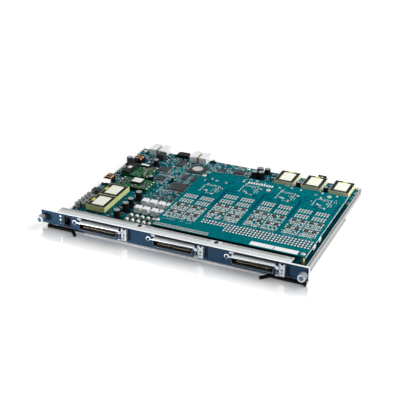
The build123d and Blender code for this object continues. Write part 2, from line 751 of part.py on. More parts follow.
# Line relays in two rows that run on under the daughter board
RELAY_W = 10.4 * STEP_X
RELAY_D = 10.4 * STEP_Y
RELAY_H = 11.2
RELAY_FOOT = 1.6
RELAY_PAIR = 13.6 * STEP_X
RELAY_STEP = 28.35 * STEP_X
RELAY_ROWS = 2
RELAY_ROW_STEP = 25.5 * STEP_Y
RELAY_FIRST = on_left(101.2, 83.2)
RELAY_EDGE = 0.5


def relay(x, y):
    """A moulded cube on a narrower foot."""
    cube = pad(x, y, TOP_Z + RELAY_FOOT, RELAY_W, RELAY_D, RELAY_H - RELAY_FOOT)
    cube = chamfer(cube.edges().group_by(Axis.Z)[-1], 0.5)
    return cube + pad(x, y, TOP_Z, RELAY_W - 1.6, RELAY_D - 1.6, RELAY_FOOT)


def relay_places():
    """Centres of the relays, in pairs, as many as the board is wide."""
    first, y = RELAY_FIRST
    limit = BOARD_RIGHT - RELAY_EDGE - RELAY_W / 2
    pairs = int((limit - first) / RELAY_STEP) + 1
    columns = [first + k * RELAY_STEP + m * RELAY_PAIR for k in range(pairs) for m in range(2)]
    rows = [y + k * RELAY_ROW_STEP for k in range(RELAY_ROWS)]
    return [(x, row) for row in rows for x in columns if x <= limit]


# Surge arresters lying from front to back beside the daughter board
ARRESTER_PITCH = 9.65 * STEP_X
ARRESTER_COUNT = 5
ARRESTER_R = 3.0 * STEP_R
ARRESTER_L = 20.0 * STEP_Y
ARRESTER_CAP = ARRESTER_L / 4
ARRESTER_FIRST = on_left(98.4, 46.7)


def arrester(k):
    """A lying tube with a collar at each end and feet on the board."""
    x, y = ARRESTER_FIRST
    x += k * ARRESTER_PITCH
    z = TOP_Z + ARRESTER_R + 0.5
    tube = rod_y(x, y, z, ARRESTER_R - 0.4, ARRESTER_L)
    for start in (0, ARRESTER_L - ARRESTER_CAP):
        tube += rod_y(x, y + start, z, ARRESTER_R, ARRESTER_CAP)
        tube += pad(x, y + start + ARRESTER_CAP / 2, TOP_Z, 2.0, 1.6, ARRESTER_R)
    return tube


# Power converters: two green boards on pins, with ferrite blocks on top
CONVERTER_LIFT = 5.0
CONVERTERS = [
    (*on_left(54.7, 164.0), 58.0 * STEP_X, 34.0 * STEP_Y),
    (*on_left(38.7, 209.7), 52.0 * STEP_X, 46.0 * STEP_Y),
]
CONVERTER_PIN_R = 0.8
CONVERTER_Z = TOP_Z + CONVERTER_LIFT
CONVERTER_TOP = CONVERTER_Z + BOARD_T


def converter_pins(x, y, w, d):
    """Four pins on each long side."""
    pins = []
    for side in (-1, 1):
        for k in range(4):
            px = x + side * (w / 2 - 2.5)
            py = y + (k - 1.5) * (d - 8) / 3
            pins.append(post(px, py, TOP_Z, CONVERTER_PIN_R, CONVERTER_LIFT))
    return pins


def converter_cores():
    """Ferrite bars: one block on the front board, a long one and a slim one on the rear board."""
    fx, fy, fw, fd = CONVERTERS[0]
    rx, ry, rw, rd = CONVERTERS[1]
    bars = [
        pad(fx + fw * 0.04, fy + fd * 0.11, CONVERTER_TOP, fw * 0.286, fd * 0.435, 4.0),
        pad(rx - rw * 0.308, ry - rd * 0.076, CONVERTER_TOP, rw * 0.288, rd * 0.761, 5.0),
        pad(rx + rw * 0.038, ry + rd * 0.37 + 0.5, CONVERTER_TOP, rw * 0.35, rd * 0.152, 3.2),
    ]
    return [chamfer(bar.edges().group_by(Axis.Z)[-1], 0.4) for bar in bars]


# Chokes at the left edge: a bobbin with three cheeks and four copper windings
CHOKE_W = 14.5 * STEP_X
CHOKE_L = 16.0 * STEP_Y
CHOKE_H = 12.6
CHOKE_FOOT = 5.4
CHEEK_T = 1.6
WINDING_R = 3.3 * STEP_R
WINDING_X = 3.5 * STEP_X
CHOKES = [on_left(7.4, 161.0), on_left(18.2, 247.5)]
TERMINAL_W = 14.8 * STEP_X


def choke_body(x, y):
    """Foot plate, three cheeks and the two bars that run through them."""
    body = pad(x, y, TOP_Z, CHOKE_W, CHOKE_L, CHOKE_FOOT)
    for k in (-1, 0, 1):
        cheek = pad(x, y + k * (CHOKE_L - CHEEK_T) / 2, TOP_Z, CHOKE_W, CHEEK_T, CHOKE_H)
        body += chamfer(cheek.edges().filter_by(Axis.Y).group_by(Axis.Z)[-1], 3.0)
    z = TOP_Z + CHOKE_FOOT + WINDING_R + CLEAR
    for side in (-1, 1):
        body += rod_y(x + side * WINDING_X, y - CHOKE_L / 2, z, WINDING_R * 0.5, CHOKE_L)
    return body


def choke_windings(x, y):
    """Copper sleeves between the cheeks."""
    z = TOP_Z + CHOKE_FOOT + WINDING_R + CLEAR
    length = (CHOKE_L - 3 * CHEEK_T) / 2
    coils = []
    for side in (-1, 1):
        for start in (-CHOKE_L / 2 + CHEEK_T, CHEEK_T / 2):
            cx = x + side * WINDING_X
            coil = rod_y(cx, y + start, z, WINDING_R, length)
            coils.append(coil - rod_y(cx, y + start, z, WINDING_R * 0.5, length))
    return coils


def terminal_block():
    """A white moulded block in front of the front choke."""
    x, y = CHOKES[0]
    front = pad(x, y - CHOKE_L / 2 - 3.2 * STEP_Y, TOP_Z, TERMINAL_W, 5.0 * STEP_Y, 10.6)
    return chamfer(front.edges().group_by(Axis.Z)[-1], 0.6)


# Packages on the main board: place, width and depth in steps, height
CHIPS = [
    (*on_left(120.5, 188.4), 27.0, 27.0, 2.4),
    (*on_left(69.6, 241.3), 18.0, 17.0, 1.8),
    (*on_left(79.5, 206.5), 16.0, 15.0, 1.8),
    (*on_left(86.0, 275.0), 14.0, 24.0, 1.6),
    (*on_left(115.0, 227.1), 11.0, 17.0, 1.6),
    (*on_left(132.5, 226.9), 11.0, 17.0, 1.6),
    (*on_left(160.4, 277.0), 12.0, 8.0, 1.6),
    (*on_left(191.2, 281.0), 18.0, 14.0, 2.4),
]
SMALL_CHIP_STEP = 14.8
CHIPS += [(*on_left(99.5 + k * SMALL_CHIP_STEP, 152.5), 6.0, 5.0, 1.6) for k in range(3)]
CHIPS += [(*on_left(99.5 + k * SMALL_CHIP_STEP, 139.5), 6.0, 5.0, 1.6) for k in range(3)]
SWITCH_PLACE = on_left(121.8, 263.3)
SWITCH_W = 29.0 * STEP_X
SWITCH_D = 29.0 * STEP_Y
SWITCH_H = 2.0
SWITCH_LID_R = 9.0 * STEP_R
SWITCH_LID_H = 0.8


def package(x, y, z, w, d, h):
    """A moulded package with drafted upper edges."""
    body = pad(x, y, z, w, d, h)
    return chamfer(body.edges().group_by(Axis.Z)[-1], 0.3)


# Packages on the daughter board: four groups of four columns and two rows
LINE_CHIP_W = 6.2 * STEP_X
LINE_CHIP_D = 6.2 * STEP_Y
LINE_CHIP_H = 1.5
LINE_GROUPS = [(10.8, 52.0), (70.0, 74.3), (132.3, 75.6), (192.5, 75.4)]
LINE_COLUMNS = (0.0, 13.0, 27.5, 40.3)
LINE_ROW_STEP = 25.8 * STEP_Y


def line_chip_places():
    """Centres of the line interface packages."""
    places = []
    for gx, gy in LINE_GROUPS:
        for row in range(2):
            for step in LINE_COLUMNS:
                places.append((DECK_LEFT + (gx + step) * STEP_X, DECK_FRONT + gy * STEP_Y + row * LINE_ROW_STEP))
    return places


# Board to board header under the daughter board's front left edge
HEADER_LEFT = 3.1 * STEP_X
HEADER_Y = 5.6 * STEP_Y
HEADER_PITCH = 2.6 * STEP_X
HEADER_COUNT = 34
HEADER_D = 6.6 * STEP_Y
HEADER_ROW = 2.6 * STEP_Y
PIN_W = 0.7
PIN_UP = 1.3


def header_body():
    """The tall header block between the boards."""
    x0 = DECK_LEFT + HEADER_LEFT
    y = DECK_FRONT + HEADER_Y
    length = HEADER_COUNT * HEADER_PITCH
    return block(x0, x0 + length, y - HEADER_D / 2, y + HEADER_D / 2, TOP_Z, DECK_Z)


def header_pins():
    """Solder ends of the header's two rows on the daughter board."""
    pins = []
    for k in range(HEADER_COUNT):
        x = DECK_LEFT + HEADER_LEFT + (k + 0.5) * HEADER_PITCH
        for side in (-1, 1):
            y = DECK_FRONT + HEADER_Y + side * HEADER_ROW / 2
            pins.append(pad(x, y, DECK_TOP, PIN_W, PIN_W, PIN_UP))
    return pins


# Backplane connectors along the rear edge
BLOCK_W = 13.6 * STEP_X
BLOCK_D = 26.0 * STEP_Y
BLOCK_H = 10.6
BLOCK_OVERHANG = 7.4
BLOCK_WALL = 1.4
BLOCK_SOCKET_D = 9.0
BLOCK_PITCH = 17.4 * STEP_X
BLOCK_PAIRS = (24.3 * STEP_X, 101.8 * STEP_X)
KEY_W = 1.4
KEY_H = 11.4


def backplane_block(x):
    """A female connector block with an open rear face."""
    rear = BOARD_REAR + BLOCK_OVERHANG
    body = block(x - BLOCK_W / 2, x + BLOCK_W / 2, rear - BLOCK_D, BOARD_REAR, TOP_Z, TOP_Z + BLOCK_H)
    body += block(x - BLOCK_W / 2, x + BLOCK_W / 2, BOARD_REAR, rear, TOP_Z - 1.2, TOP_Z + BLOCK_H)
    inner = BLOCK_W / 2 - BLOCK_WALL
    low = TOP_Z - 1.2 + BLOCK_WALL
    return body - block(x - inner, x + inner, rear - BLOCK_SOCKET_D, rear, low, TOP_Z + BLOCK_H - BLOCK_WALL)


def backplane_places():
    """X of the four blocks, in two pairs."""
    return [BOARD_LEFT + x + m * BLOCK_PITCH for x in BLOCK_PAIRS for m in range(2)]


def backplane_key(x):
    """The coding blade between the two blocks of a pair."""
    middle = BOARD_LEFT + x + BLOCK_PITCH / 2
    rear = BOARD_REAR + BLOCK_OVERHANG
    return block(middle - KEY_W / 2, middle + KEY_W / 2, rear - BLOCK_D, BOARD_REAR, TOP_Z, TOP_Z + KEY_H)


def power_header():
    """The low power connector between the two pairs."""
    x, y = at_rear_left(77.0, 4.0)
    w = 21.0 * STEP_X
    d = 12.0 * STEP_Y
    lip = 3.0
    body = pad(x, y, TOP_Z, w, d, 5.2)
    return body + pad(x, y + d / 2 + lip / 2, TOP_Z + 0.6, w * 0.8, lip, 4.0)


def power_blocks():
    """The dark filter block by the rear connectors and the bridge at the left edge."""
    x, y = at_rear_left(47.0, 29.0)
    filter_block = pad(x, y, TOP_Z, 12.6 * STEP_X, 13.6 * STEP_Y, 11.4)
    bridge = pad(*on_left(6.6, 119.0), TOP_Z, 13.0 * STEP_X, 11.0 * STEP_Y, 6.5)
    return [chamfer(item.edges().group_by(Axis.Z)[-1], 0.5) for item in (filter_block, bridge)]


# Small drum chokes along the left edge
DRUM_R = 4.1 * STEP_R
DRUM_H = 7.4
DRUM_STEP = 9.5
DRUM_COLUMNS = [(4.6, 61.5, 5), (13.4, 66.2, 4)]
DRUM_PLACES = [on_left(x, y + k * DRUM_STEP) for x, y, count in DRUM_COLUMNS for k in range(count)]


def drum(x, y):
    """A drum core: two flanges and a waist."""
    rim = DRUM_H * 0.25
    core = post(x, y, TOP_Z, DRUM_R, rim) + post(x, y, TOP_Z + rim, DRUM_R * 0.8, DRUM_H - 2 * rim)
    return core + post(x, y, TOP_Z + DRUM_H - rim, DRUM_R, rim)


def riser_tab():
    """A small upright board behind the middle rear transformer, with a hole near its top."""
    x, y = at_rear_right(64.5, 3.6)
    tab = pad(x, y, TOP_Z, 14.0 * STEP_X, BOARD_T, 13.0)
    return tab - rod_y(x, y - BOARD_T, TOP_Z + 9.5, 1.8, 2 * BOARD_T)


# Sheet metal, boards and what joins them
save("front_panel", front_panel())
save("top_flange", top_flange())
save("emi_gasket", *finger_strips())
save("base_tray", base_tray())
save("main_board", main_board())
save("daughter_board", daughter_board())
save("tray_pillars", *[
    post(x, y, SHEET, PILLAR_R, PILLAR_H) - post(x, y, SHEET, SCREW_R, PILLAR_H) for x, y in DECK_SCREWS + EDGE_SCREWS
])
save("standoffs", *[standoff(x, y) - post(x, y, TOP_Z, SCREW_R, STANDOFF_H) for x, y in DECK_SCREWS])
screws = [pan_screw(x, y, DECK_TOP, BOARD_T + STANDOFF_H / 2) for x, y in DECK_SCREWS]
screws += [pan_screw(x, y, TOP_Z, BOARD_T + PILLAR_H) for x, y in EDGE_SCREWS]
save("board_screws", *screws)

# Ports, lights, bails, screws and levers of the front panel
for number, place in enumerate(TELCO_X, start=1):
    save(f"telco_shell_{number}", telco_shell(place))
    save(f"telco_body_{number}", telco_body(place))
    save(f"bail_wire_{number}", bail_wire(place))
save("telco_contacts", *[rib for place in TELCO_X for rib in telco_contacts(place)])
save("bail_brackets", *[bail_bracket(place) for place in TELCO_X])
save("hood_hooks", *[hood_hook(place) for place in TELCO_X])
save("rj_jack", console_jack())
save("led_pipes", *light_pipes())
save("led_holder", light_holder())
save("screw_ferrules", *[ferrule(x) for x in screw_axes()])
for name, x in zip(("left", "right"), screw_axes()):
    save(f"{name}_screw_collar", collar(x))
    save(f"{name}_thumbscrew", thumbscrew(x))
save("left_lever", lever(-1))
save("right_lever", lever(1))
save("lever_brackets", *[lever_bracket(x, y) for x, y in lever_pivots()])
save("lever_pins", *[lever_pin(x, y) for x, y in lever_pivots()])

# Components of the main board
save("transformer_cores", *[transformer_core(x, y) for x, y in transformer_places()])
save("transformer_tapes", *[transformer_tape(x, y) for x, y in transformer_places()])
save("transformer_coils", *[transformer_coil(x, y) for x, y in transformer_places()])
save("transformer_bobbins", *[transformer_bobbin(x, y) for x, y in transformer_places()])
save("can_capacitors", *[can(*place) for place in can_places()])
save("line_relays", *[relay(x, y) for x, y in relay_places()])
save("surge_arresters", *[arrester(k) for k in range(ARRESTER_COUNT)])
save("converter_boards", *[pad(x, y, CONVERTER_Z, w, d, BOARD_T) for x, y, w, d in CONVERTERS])
save("converter_cores", *converter_cores())
save("converter_pins", *[pin for place in CONVERTERS for pin in converter_pins(*place)])
save("choke_bodies", *[choke_body(x, y) for x, y in CHOKES])
save("choke_windings", *[coil for x, y in CHOKES for coil in choke_windings(x, y)])
save("terminal_block", terminal_block())
save("logic_chips", *[package(x, y, TOP_Z, w * STEP_X, d * STEP_Y, h) for x, y, w, d, h in CHIPS])
save("switch_chip", package(*SWITCH_PLACE, TOP_Z, SWITCH_W, SWITCH_D, SWITCH_H))
save("switch_lid", post(*SWITCH_PLACE, TOP_Z + SWITCH_H, SWITCH_LID_R, SWITCH_LID_H))
save("backplane_blocks", *[backplane_block(x) for x in backplane_places()])
save("backplane_keys", *[backplane_key(x) for x in BLOCK_PAIRS])
save("power_header", power_header())
save("power_blocks", *power_blocks())
save("line_coils", *[drum(x, y) for x, y in DRUM_PLACES])
save("riser_tab", riser_tab())

# Components of the daughter board
save("line_chips", *[
    package(x, y, DECK_TOP, LINE_CHIP_W, LINE_CHIP_D, LINE_CHIP_H) for x, y in line_chip_places()
])
save("mezzanine_header", header_body())
save("header_pins", *header_pins())
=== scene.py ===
# %% [markdown]
# # A switch line card
# The card is a blue front panel with three cable sockets, a teal main board behind it and a raised
# daughter board on posts. The solids come packed, with their joints, so they are loaded as a fixed frame.
# The scene's own work is the finish of every solid and the small parts that are too many for the solids.

# %% Load the frame
import math
import random

import bmesh
import bpy
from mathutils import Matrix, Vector


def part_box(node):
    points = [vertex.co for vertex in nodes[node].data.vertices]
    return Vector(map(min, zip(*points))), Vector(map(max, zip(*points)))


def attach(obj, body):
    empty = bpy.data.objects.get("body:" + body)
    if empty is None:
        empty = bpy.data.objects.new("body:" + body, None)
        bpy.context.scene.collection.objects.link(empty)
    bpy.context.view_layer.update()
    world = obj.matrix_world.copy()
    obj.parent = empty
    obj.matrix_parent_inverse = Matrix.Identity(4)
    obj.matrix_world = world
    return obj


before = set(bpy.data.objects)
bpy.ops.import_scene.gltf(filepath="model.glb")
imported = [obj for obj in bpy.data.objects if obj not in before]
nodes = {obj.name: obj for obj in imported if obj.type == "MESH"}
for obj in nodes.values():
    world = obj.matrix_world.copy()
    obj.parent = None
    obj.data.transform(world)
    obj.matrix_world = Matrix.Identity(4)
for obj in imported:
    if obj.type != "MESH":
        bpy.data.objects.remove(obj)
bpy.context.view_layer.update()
scene = bpy.context.scene
MM = 0.001
CARD = "card"
SOCKETS = (1, 2, 3)
CORNERS = ((-1, -1), (1, -1), (1, 1), (-1, 1))

# %% [markdown]
# ## Camera
# The picture was taken from the right, a little above, with a long lens. The place, lens and tilt below were
# worked out from the panel's straight edges and corners. A camera could also be aimed with a Track To
# constraint, but plain angles are easier to read and to check.

# %% Place the camera
LOOK_DOWN = 26.87
LOOK_LEFT = 24.18
camera_data = bpy.data.cameras.new("photo_camera")
camera_data.sensor_width = 36.0
camera_data.lens = 90.98
camera_data.clip_start = 0.05
camera_data.clip_end = 30.0
camera = bpy.data.objects.new("photo_camera", camera_data)
scene.collection.objects.link(camera)
camera.location = (0.5653, -1.3072, 0.7357)
camera.rotation_euler = (math.radians(90 - LOOK_DOWN), 0.0, math.radians(LOOK_LEFT))
scene.camera = camera
print("camera looks down by", LOOK_DOWN, "degrees from", tuple(camera.location))

# %% [markdown]
# ## Helpers
# Each finish is a Principled shader whose colour, roughness and surface relief come from noise at the real
# scale. Object coordinates are metres of the card itself, so a scale of 1000 means one pattern step per
# millimetre, and the pattern stays on its piece when a joint moves. With these helpers a finish takes a few
# lines.

# %% Helpers for finishes
EVEN = (1.0, 1.0, 1.0)
WHITE = (1.0, 1.0, 1.0, 1.0)
ABOVE = "GREATER_THAN"
BELOW = "LESS_THAN"
TONE_STOPS = (0.3, 0.7)


def rgb(r, g, b):
    """A colour as a picture editor shows it, 0 to 255, turned into the linear values that shaders use."""
    values = []
    for channel in (r, g, b):
        c = channel / 255
        values.append(c / 12.92 if c <= 0.04045 else ((c + 0.055) / 1.055) ** 2.4)
    return (*values, 1.0)


def inlet(mat, name):
    """An input of a finish's Principled shader."""
    return mat.node_tree.nodes["Principled BSDF"].inputs[name]


def finish(name, colour, rough, metal=0.0, shine=0.5):
    """A material with its constant values set on the shader's own sockets."""
    mat = bpy.data.materials.new(name)
    mat.use_nodes = True
    inlet(mat, "Base Color").default_value = colour
    inlet(mat, "Roughness").default_value = rough
    inlet(mat, "Metallic").default_value = metal
    inlet(mat, "Specular IOR Level").default_value = shine
    return mat


def node(owner, kind, sockets=None, **values):
    """A new node of a material or sky, with its properties and its input values set."""
    made = owner.node_tree.nodes.new(kind)
    for key, value in values.items():
        setattr(made, key, value)
    for key, value in (sockets or {}).items():
        made.inputs[key].default_value = value
    return made


def wire(owner, start, end):
    """Joins an output to an input."""
    owner.node_tree.links.new(start, end)


def calc(owner, operation, a, b=None):
    """A sum on two values; each is a socket or a number."""
    made = node(owner, "ShaderNodeMath", operation=operation)
    for socket, value in zip(made.inputs, (a, b)):
        if value is None:
            continue
        if isinstance(value, (int, float)):
            socket.default_value = value
        else:
            wire(owner, value, socket)
    return made.outputs[0]


def span(mat, value, top, start, end):
    """Turns a value from 0 to top into one from start to end, and holds it there beyond."""
    made = node(mat, "ShaderNodeMapRange", {"From Max": top, "To Min": start, "To Max": end})
    wire(mat, value, made.inputs["Value"])
    return made.outputs["Result"]


def mix_shaders(owner, mask, a, b):
    """Shader a where the mask is 0 and b where it is 1."""
    made = node(owner, "ShaderNodeMixShader")
    for start, end in zip((mask, a.outputs[0], b.outputs[0]), made.inputs):
        wire(owner, start, end)
    return made.outputs[0]


def blend(mat, mask, a, b):
    """Colour a where the mask is 0 and b where it is 1; each is a socket or a colour."""
    made = node(mat, "ShaderNodeMix", data_type="RGBA")
    wire(mat, mask, made.inputs["Factor"])
    for socket, value in zip((made.inputs[6], made.inputs[7]), (a, b)):
        if isinstance(value, tuple):
            socket.default_value = value
        else:
            wire(mat, value, socket)
    return made.outputs[2]


def place(mat, stretch=EVEN):
    """The piece's own coordinates, stretched along an axis for brushed or drawn surfaces."""
    where = node(mat, "ShaderNodeTexCoord")
    scale = node(mat, "ShaderNodeMapping", {"Scale": stretch})
    wire(mat, where.outputs["Object"], scale.inputs["Vector"])
    return scale.outputs["Vector"]


def axis_value(mat, kind, axis):
    """One coordinate of the piece's own place, or of its surface direction."""
    split = node(mat, "ShaderNodeSeparateXYZ")
    if kind == "place":
        wire(mat, place(mat), split.inputs[0])
    else:
        facing = node(mat, "ShaderNodeTexCoord")
        wire(mat, facing.outputs["Normal"], split.inputs[0])
    return split.outputs[axis]


def axis_size(mat, kind, axis):
    """The same without its sign."""
    return calc(mat, "ABSOLUTE", axis_value(mat, kind, axis))


def noise(mat, per_metre, detail=3.0, stretch=EVEN):
    """Cloudy noise with that many steps per metre."""
    made = node(mat, "ShaderNodeTexNoise", {"Scale": per_metre, "Detail": detail})
    wire(mat, place(mat, stretch), made.inputs["Vector"])
    return made.outputs["Fac"]


def tones(mat, dark, light, per_metre, detail=3.0, stretch=EVEN):
    """Uneven colour between two close tones."""
    made = node(mat, "ShaderNodeValToRGB")
    for element, position, colour in zip(made.color_ramp.elements, TONE_STOPS, (dark, light)):
        element.position = position
        element.color = colour
    wire(mat, noise(mat, per_metre, detail, stretch), made.inputs["Fac"])
    return made.outputs["Color"]


def coat(mat, tone, *patches):
    """Colours a finish; a patch is another tone for the faces or places above or below a limit."""
    for kind, axis, way, limit, colour in patches:
        mask = calc(mat, way, axis_value(mat, kind, axis), limit)
        tone = blend(mat, mask, tone, colour)
    wire(mat, tone, inlet(mat, "Base Color"))


def rough_range(mat, low, high, per_metre, stretch=EVEN):
    """Uneven roughness, as handling and tooling leave it."""
    wire(mat, span(mat, noise(mat, per_metre, 3.0, stretch), 1.0, low, high), inlet(mat, "Roughness"))


def relief(mat, height, strength, depth_mm):
    """Surface relief from a height value."""
    made = node(mat, "ShaderNodeBump", {"Strength": strength, "Distance": depth_mm * MM})
    wire(mat, height, made.inputs["Height"])
    wire(mat, made.outputs["Normal"], inlet(mat, "Normal"))


def dress(mat, *names):
    """Gives CAD nodes a finish."""
    for name in names:
        for material_slot in nodes[name].material_slots:
            material_slot.material = mat


print("helpers ready")

# %% [markdown]
# ## Studio
# The card lies on a white, slightly glossy table. A large lamp from the upper right lights the right hand
# faces, a weaker one from the left fills, and a small low one rakes along the panel, so the knobs and
# brackets throw short shadows to the right. The table has to look white and still take the shadow and the
# reflection. It is a pale floor mixed with a mirror, and it adds a little light of its own, which only the
# camera and reflections see. The mirror is strongest at the card's foot and fades out about a hand's breadth
# away from it.


# %% Table, lamps and sky
def area_lamp(name, where, size, watts):
    """A square soft lamp that points at the card."""
    data = bpy.data.lights.new(name, "AREA")
    data.size = size
    data.energy = watts
    lamp = bpy.data.objects.new(name, data)
    scene.collection.objects.link(lamp)
    lamp.location = where
    lamp.rotation_euler = Vector(where).to_track_quat("Z", "Y").to_euler()


def ray_mask(owner, first, *others):
    """1 for rays of the named kinds, 0 for all others."""
    rays = node(owner, "ShaderNodeLightPath")
    mask = rays.outputs[f"Is {first} Ray"]
    for kind in others:
        mask = calc(owner, "MAXIMUM", mask, rays.outputs[f"Is {kind} Ray"])
    return mask


scene.view_settings.view_transform = "Standard"
area_lamp("right_lamp", (1.15, 0.45, 1.2), 1.6, 34.0)
area_lamp("left_lamp", (-1.0, -0.75, 1.35), 1.3, 3.5)
area_lamp("low_lamp", (-0.46, -0.76, 0.03), 0.05, 7.4)

sky = bpy.data.worlds.new("studio_sky")
scene.world = sky
sky.use_nodes = True
sky.node_tree.nodes.clear()
seen = ray_mask(sky, "Camera", "Glossy", "Transmission")
soft = node(sky, "ShaderNodeBackground", {"Color": (0.97, 0.985, 1.0, 1.0), "Strength": 0.18})
white = node(sky, "ShaderNodeBackground", {"Color": WHITE, "Strength": 1.0})
sky_out = node(sky, "ShaderNodeOutputWorld")
wire(sky, mix_shaders(sky, seen, soft, white), sky_out.inputs["Surface"])

TABLE_HALF = 6.0
TABLE_Z = -0.0004
CARD_HALVES = (("X", 0.2), ("Y", 0.157))
MIRROR_REACH = 0.062
MIRROR_SHARE = 0.62
GLOW_REACH = 0.075
SHADED_GLOW_NEAR = 0.36
GLOW_FAR = 0.66
table_corners = [(sx * TABLE_HALF, sy * TABLE_HALF, TABLE_Z) for sx, sy in CORNERS]
table_mesh = bpy.data.meshes.new("table")
table_mesh.from_pydata(table_corners, [], [(0, 1, 2, 3)])
table = bpy.data.objects.new("table", table_mesh)
scene.collection.objects.link(table)
pale = finish("white_table", (0.8, 0.8, 0.8, 1.0), 0.6, 0.0, 0.0)
inlet(pale, "Emission Color").default_value = WHITE
beside = [calc(pale, "SUBTRACT", axis_size(pale, "place", axis), half) for axis, half in CARD_HALVES]
farther = calc(pale, "MAXIMUM", *beside)
# Near the card the table's own light is weaker, which paints a soft shade round the card's foot.
glow = span(pale, farther, GLOW_REACH, SHADED_GLOW_NEAR, GLOW_FAR)
seen = ray_mask(pale, "Camera", "Glossy")
wire(pale, calc(pale, "MULTIPLY", seen, glow), inlet(pale, "Emission Strength"))
mirror = node(pale, "ShaderNodeBsdfGlossy", {"Color": (1.0, 0.97, 0.94, 1.0), "Roughness": 0.012})
fade = span(pale, farther, MIRROR_REACH, MIRROR_SHARE, 0.0)
table_nodes = pale.node_tree.nodes
mixed = mix_shaders(pale, fade, table_nodes["Principled BSDF"], mirror)
wire(pale, mixed, table_nodes["Material Output"].inputs["Surface"])
table_mesh.materials.append(pale)

# %% [markdown]
# ## Front panel paint
# The panel is a painted aluminium plate. Its front is dark blue with a fine orange peel, and the cut edges
# are bare and bright. Along the bottom of the front runs a bare strip about a millimetre wide, and under it
# a thin band painted near black as the shade where the panel meets the table. The edge is told apart by the
# direction a face looks in: only faces that look straight to the front or back are painted. The strip and the
# shade band are told apart by height, so the two ends that are cut away for the levers have none.

# %% Painted panel with bare edges
SHADE_BAND = 1.0 * MM
STRIP = 1.9 * MM
panel = finish("panel_paint", rgb(32, 54, 74), 0.46, 0.0, 0.05)
flat = calc(panel, ABOVE, axis_size(panel, "facing", "Y"), 0.9)
height = axis_value(panel, "place", "Z")
painted = calc(panel, "MULTIPLY", flat, calc(panel, ABOVE, height, STRIP))
blue = tones(panel, rgb(29, 50, 70), rgb(34, 57, 78), 60, 2.0)
bare = tones(panel, rgb(222, 224, 226), rgb(246, 247, 248), 900, 3.0, (0.1, 1.0, 1.0))
# Below the shade band height the front is painted near black as the shade where the panel meets the table.
strip_and_shade = blend(panel, calc(panel, BELOW, height, SHADE_BAND), rgb(132, 135, 138), rgb(30, 28, 26))
unpainted = blend(panel, flat, bare, strip_and_shade)
coat(panel, blend(panel, painted, unpainted, blue))
metal_part = calc(panel, "SUBTRACT", 1.0, painted)
wire(panel, calc(panel, "MULTIPLY", metal_part, 0.7), inlet(panel, "Metallic"))
relief(panel, noise(panel, 2600, 2.0), 0.12, 0.05)
dress(panel, "front_panel")
print("panel painted")

# %% [markdown]
# ## Sheet metal and plated parts
# Rolled sheet shows fine lines along the rolling direction, so its noise is squeezed across and stretched
# along. Plated and drawn parts are smoother, with a faint unevenness in how sharply they reflect. Some have
# painted light: a painted highlight on their tops, and painted shade on their fronts, sides or lower parts.


# %% Metals
def brushed(name, dark, light, low, high, stretch=EVEN, metal=1.0, patches=(), cloudy=False):
    """A metal with a drawn or rolled grain; a cloudy one has the grain in its sheen only."""
    mat = finish(name, light, low, metal, 0.3)
    coat(mat, tones(mat, dark, light, 700, 4.0, EVEN if cloudy else stretch), *patches)
    rough_range(mat, low, high, 500, stretch)
    relief(mat, noise(mat, 2400, 3.0, stretch), 0.16, 0.04)
    return mat


SHADED_LEG_TOP = 20.0 * MM
HIGHLIGHT_LIP_X = -190.0 * MM
HIGHLIGHT_TOPS = ("facing", "Z", ABOVE, 0.5)
SHADED_FRONTS = ("facing", "Y", BELOW, -0.5)
# The tray's tops and its left lip get a painted highlight, and its dark base tone is painted shade on the
# sides.
TRAY_HIGHLIGHT = rgb(222, 226, 226)
tray_highlight_patches = [(*HIGHLIGHT_TOPS, TRAY_HIGHLIGHT), ("place", "X", BELOW, HIGHLIGHT_LIP_X, TRAY_HIGHLIGHT)]
# The stamped parts have a painted highlight on their tops.
stamped_top_highlight = [(*HIGHLIGHT_TOPS, rgb(238, 241, 243))]
# The bail wire's legs below this height are painted darker as shade.
wire_leg_shade = [("place", "Z", BELOW, SHADED_LEG_TOP, rgb(104, 113, 124))]
# The shells are painted dark as shade, their fronts a little less dark, and their tops with a painted
# highlight.
shell_highlight_and_shade = [(*HIGHLIGHT_TOPS, rgb(240, 243, 246)), (*SHADED_FRONTS, rgb(74, 88, 104))]
sheet = brushed("rolled_sheet", rgb(196, 200, 202), rgb(226, 229, 230), 0.3, 0.44, (0.06, 1.0, 1.0), 0.35)
tray_sheet = brushed(
    "tray_sheet", rgb(66, 70, 70), rgb(112, 117, 117), 0.34, 0.5, (1.0, 0.05, 1.0), 0.1, tray_highlight_patches,
    cloudy=True,
)
dull_tin = brushed("dull_tin", rgb(92, 98, 96), rgb(160, 166, 163), 0.36, 0.5, EVEN, 0.5)
spring_sheet = brushed("spring_sheet", rgb(120, 124, 122), rgb(190, 193, 190), 0.25, 0.4, EVEN, 0.5)
stamped = brushed(
    "stamped_steel", rgb(140, 147, 154), rgb(206, 212, 218), 0.2, 0.34, (1.0, 1.0, 0.3), 0.7, stamped_top_highlight
)
spring_wire = brushed(
    "spring_wire", rgb(180, 187, 194), rgb(228, 232, 235), 0.2, 0.32, (0.2, 1.0, 1.0), 0.8, wire_leg_shade,
    cloudy=True,
)
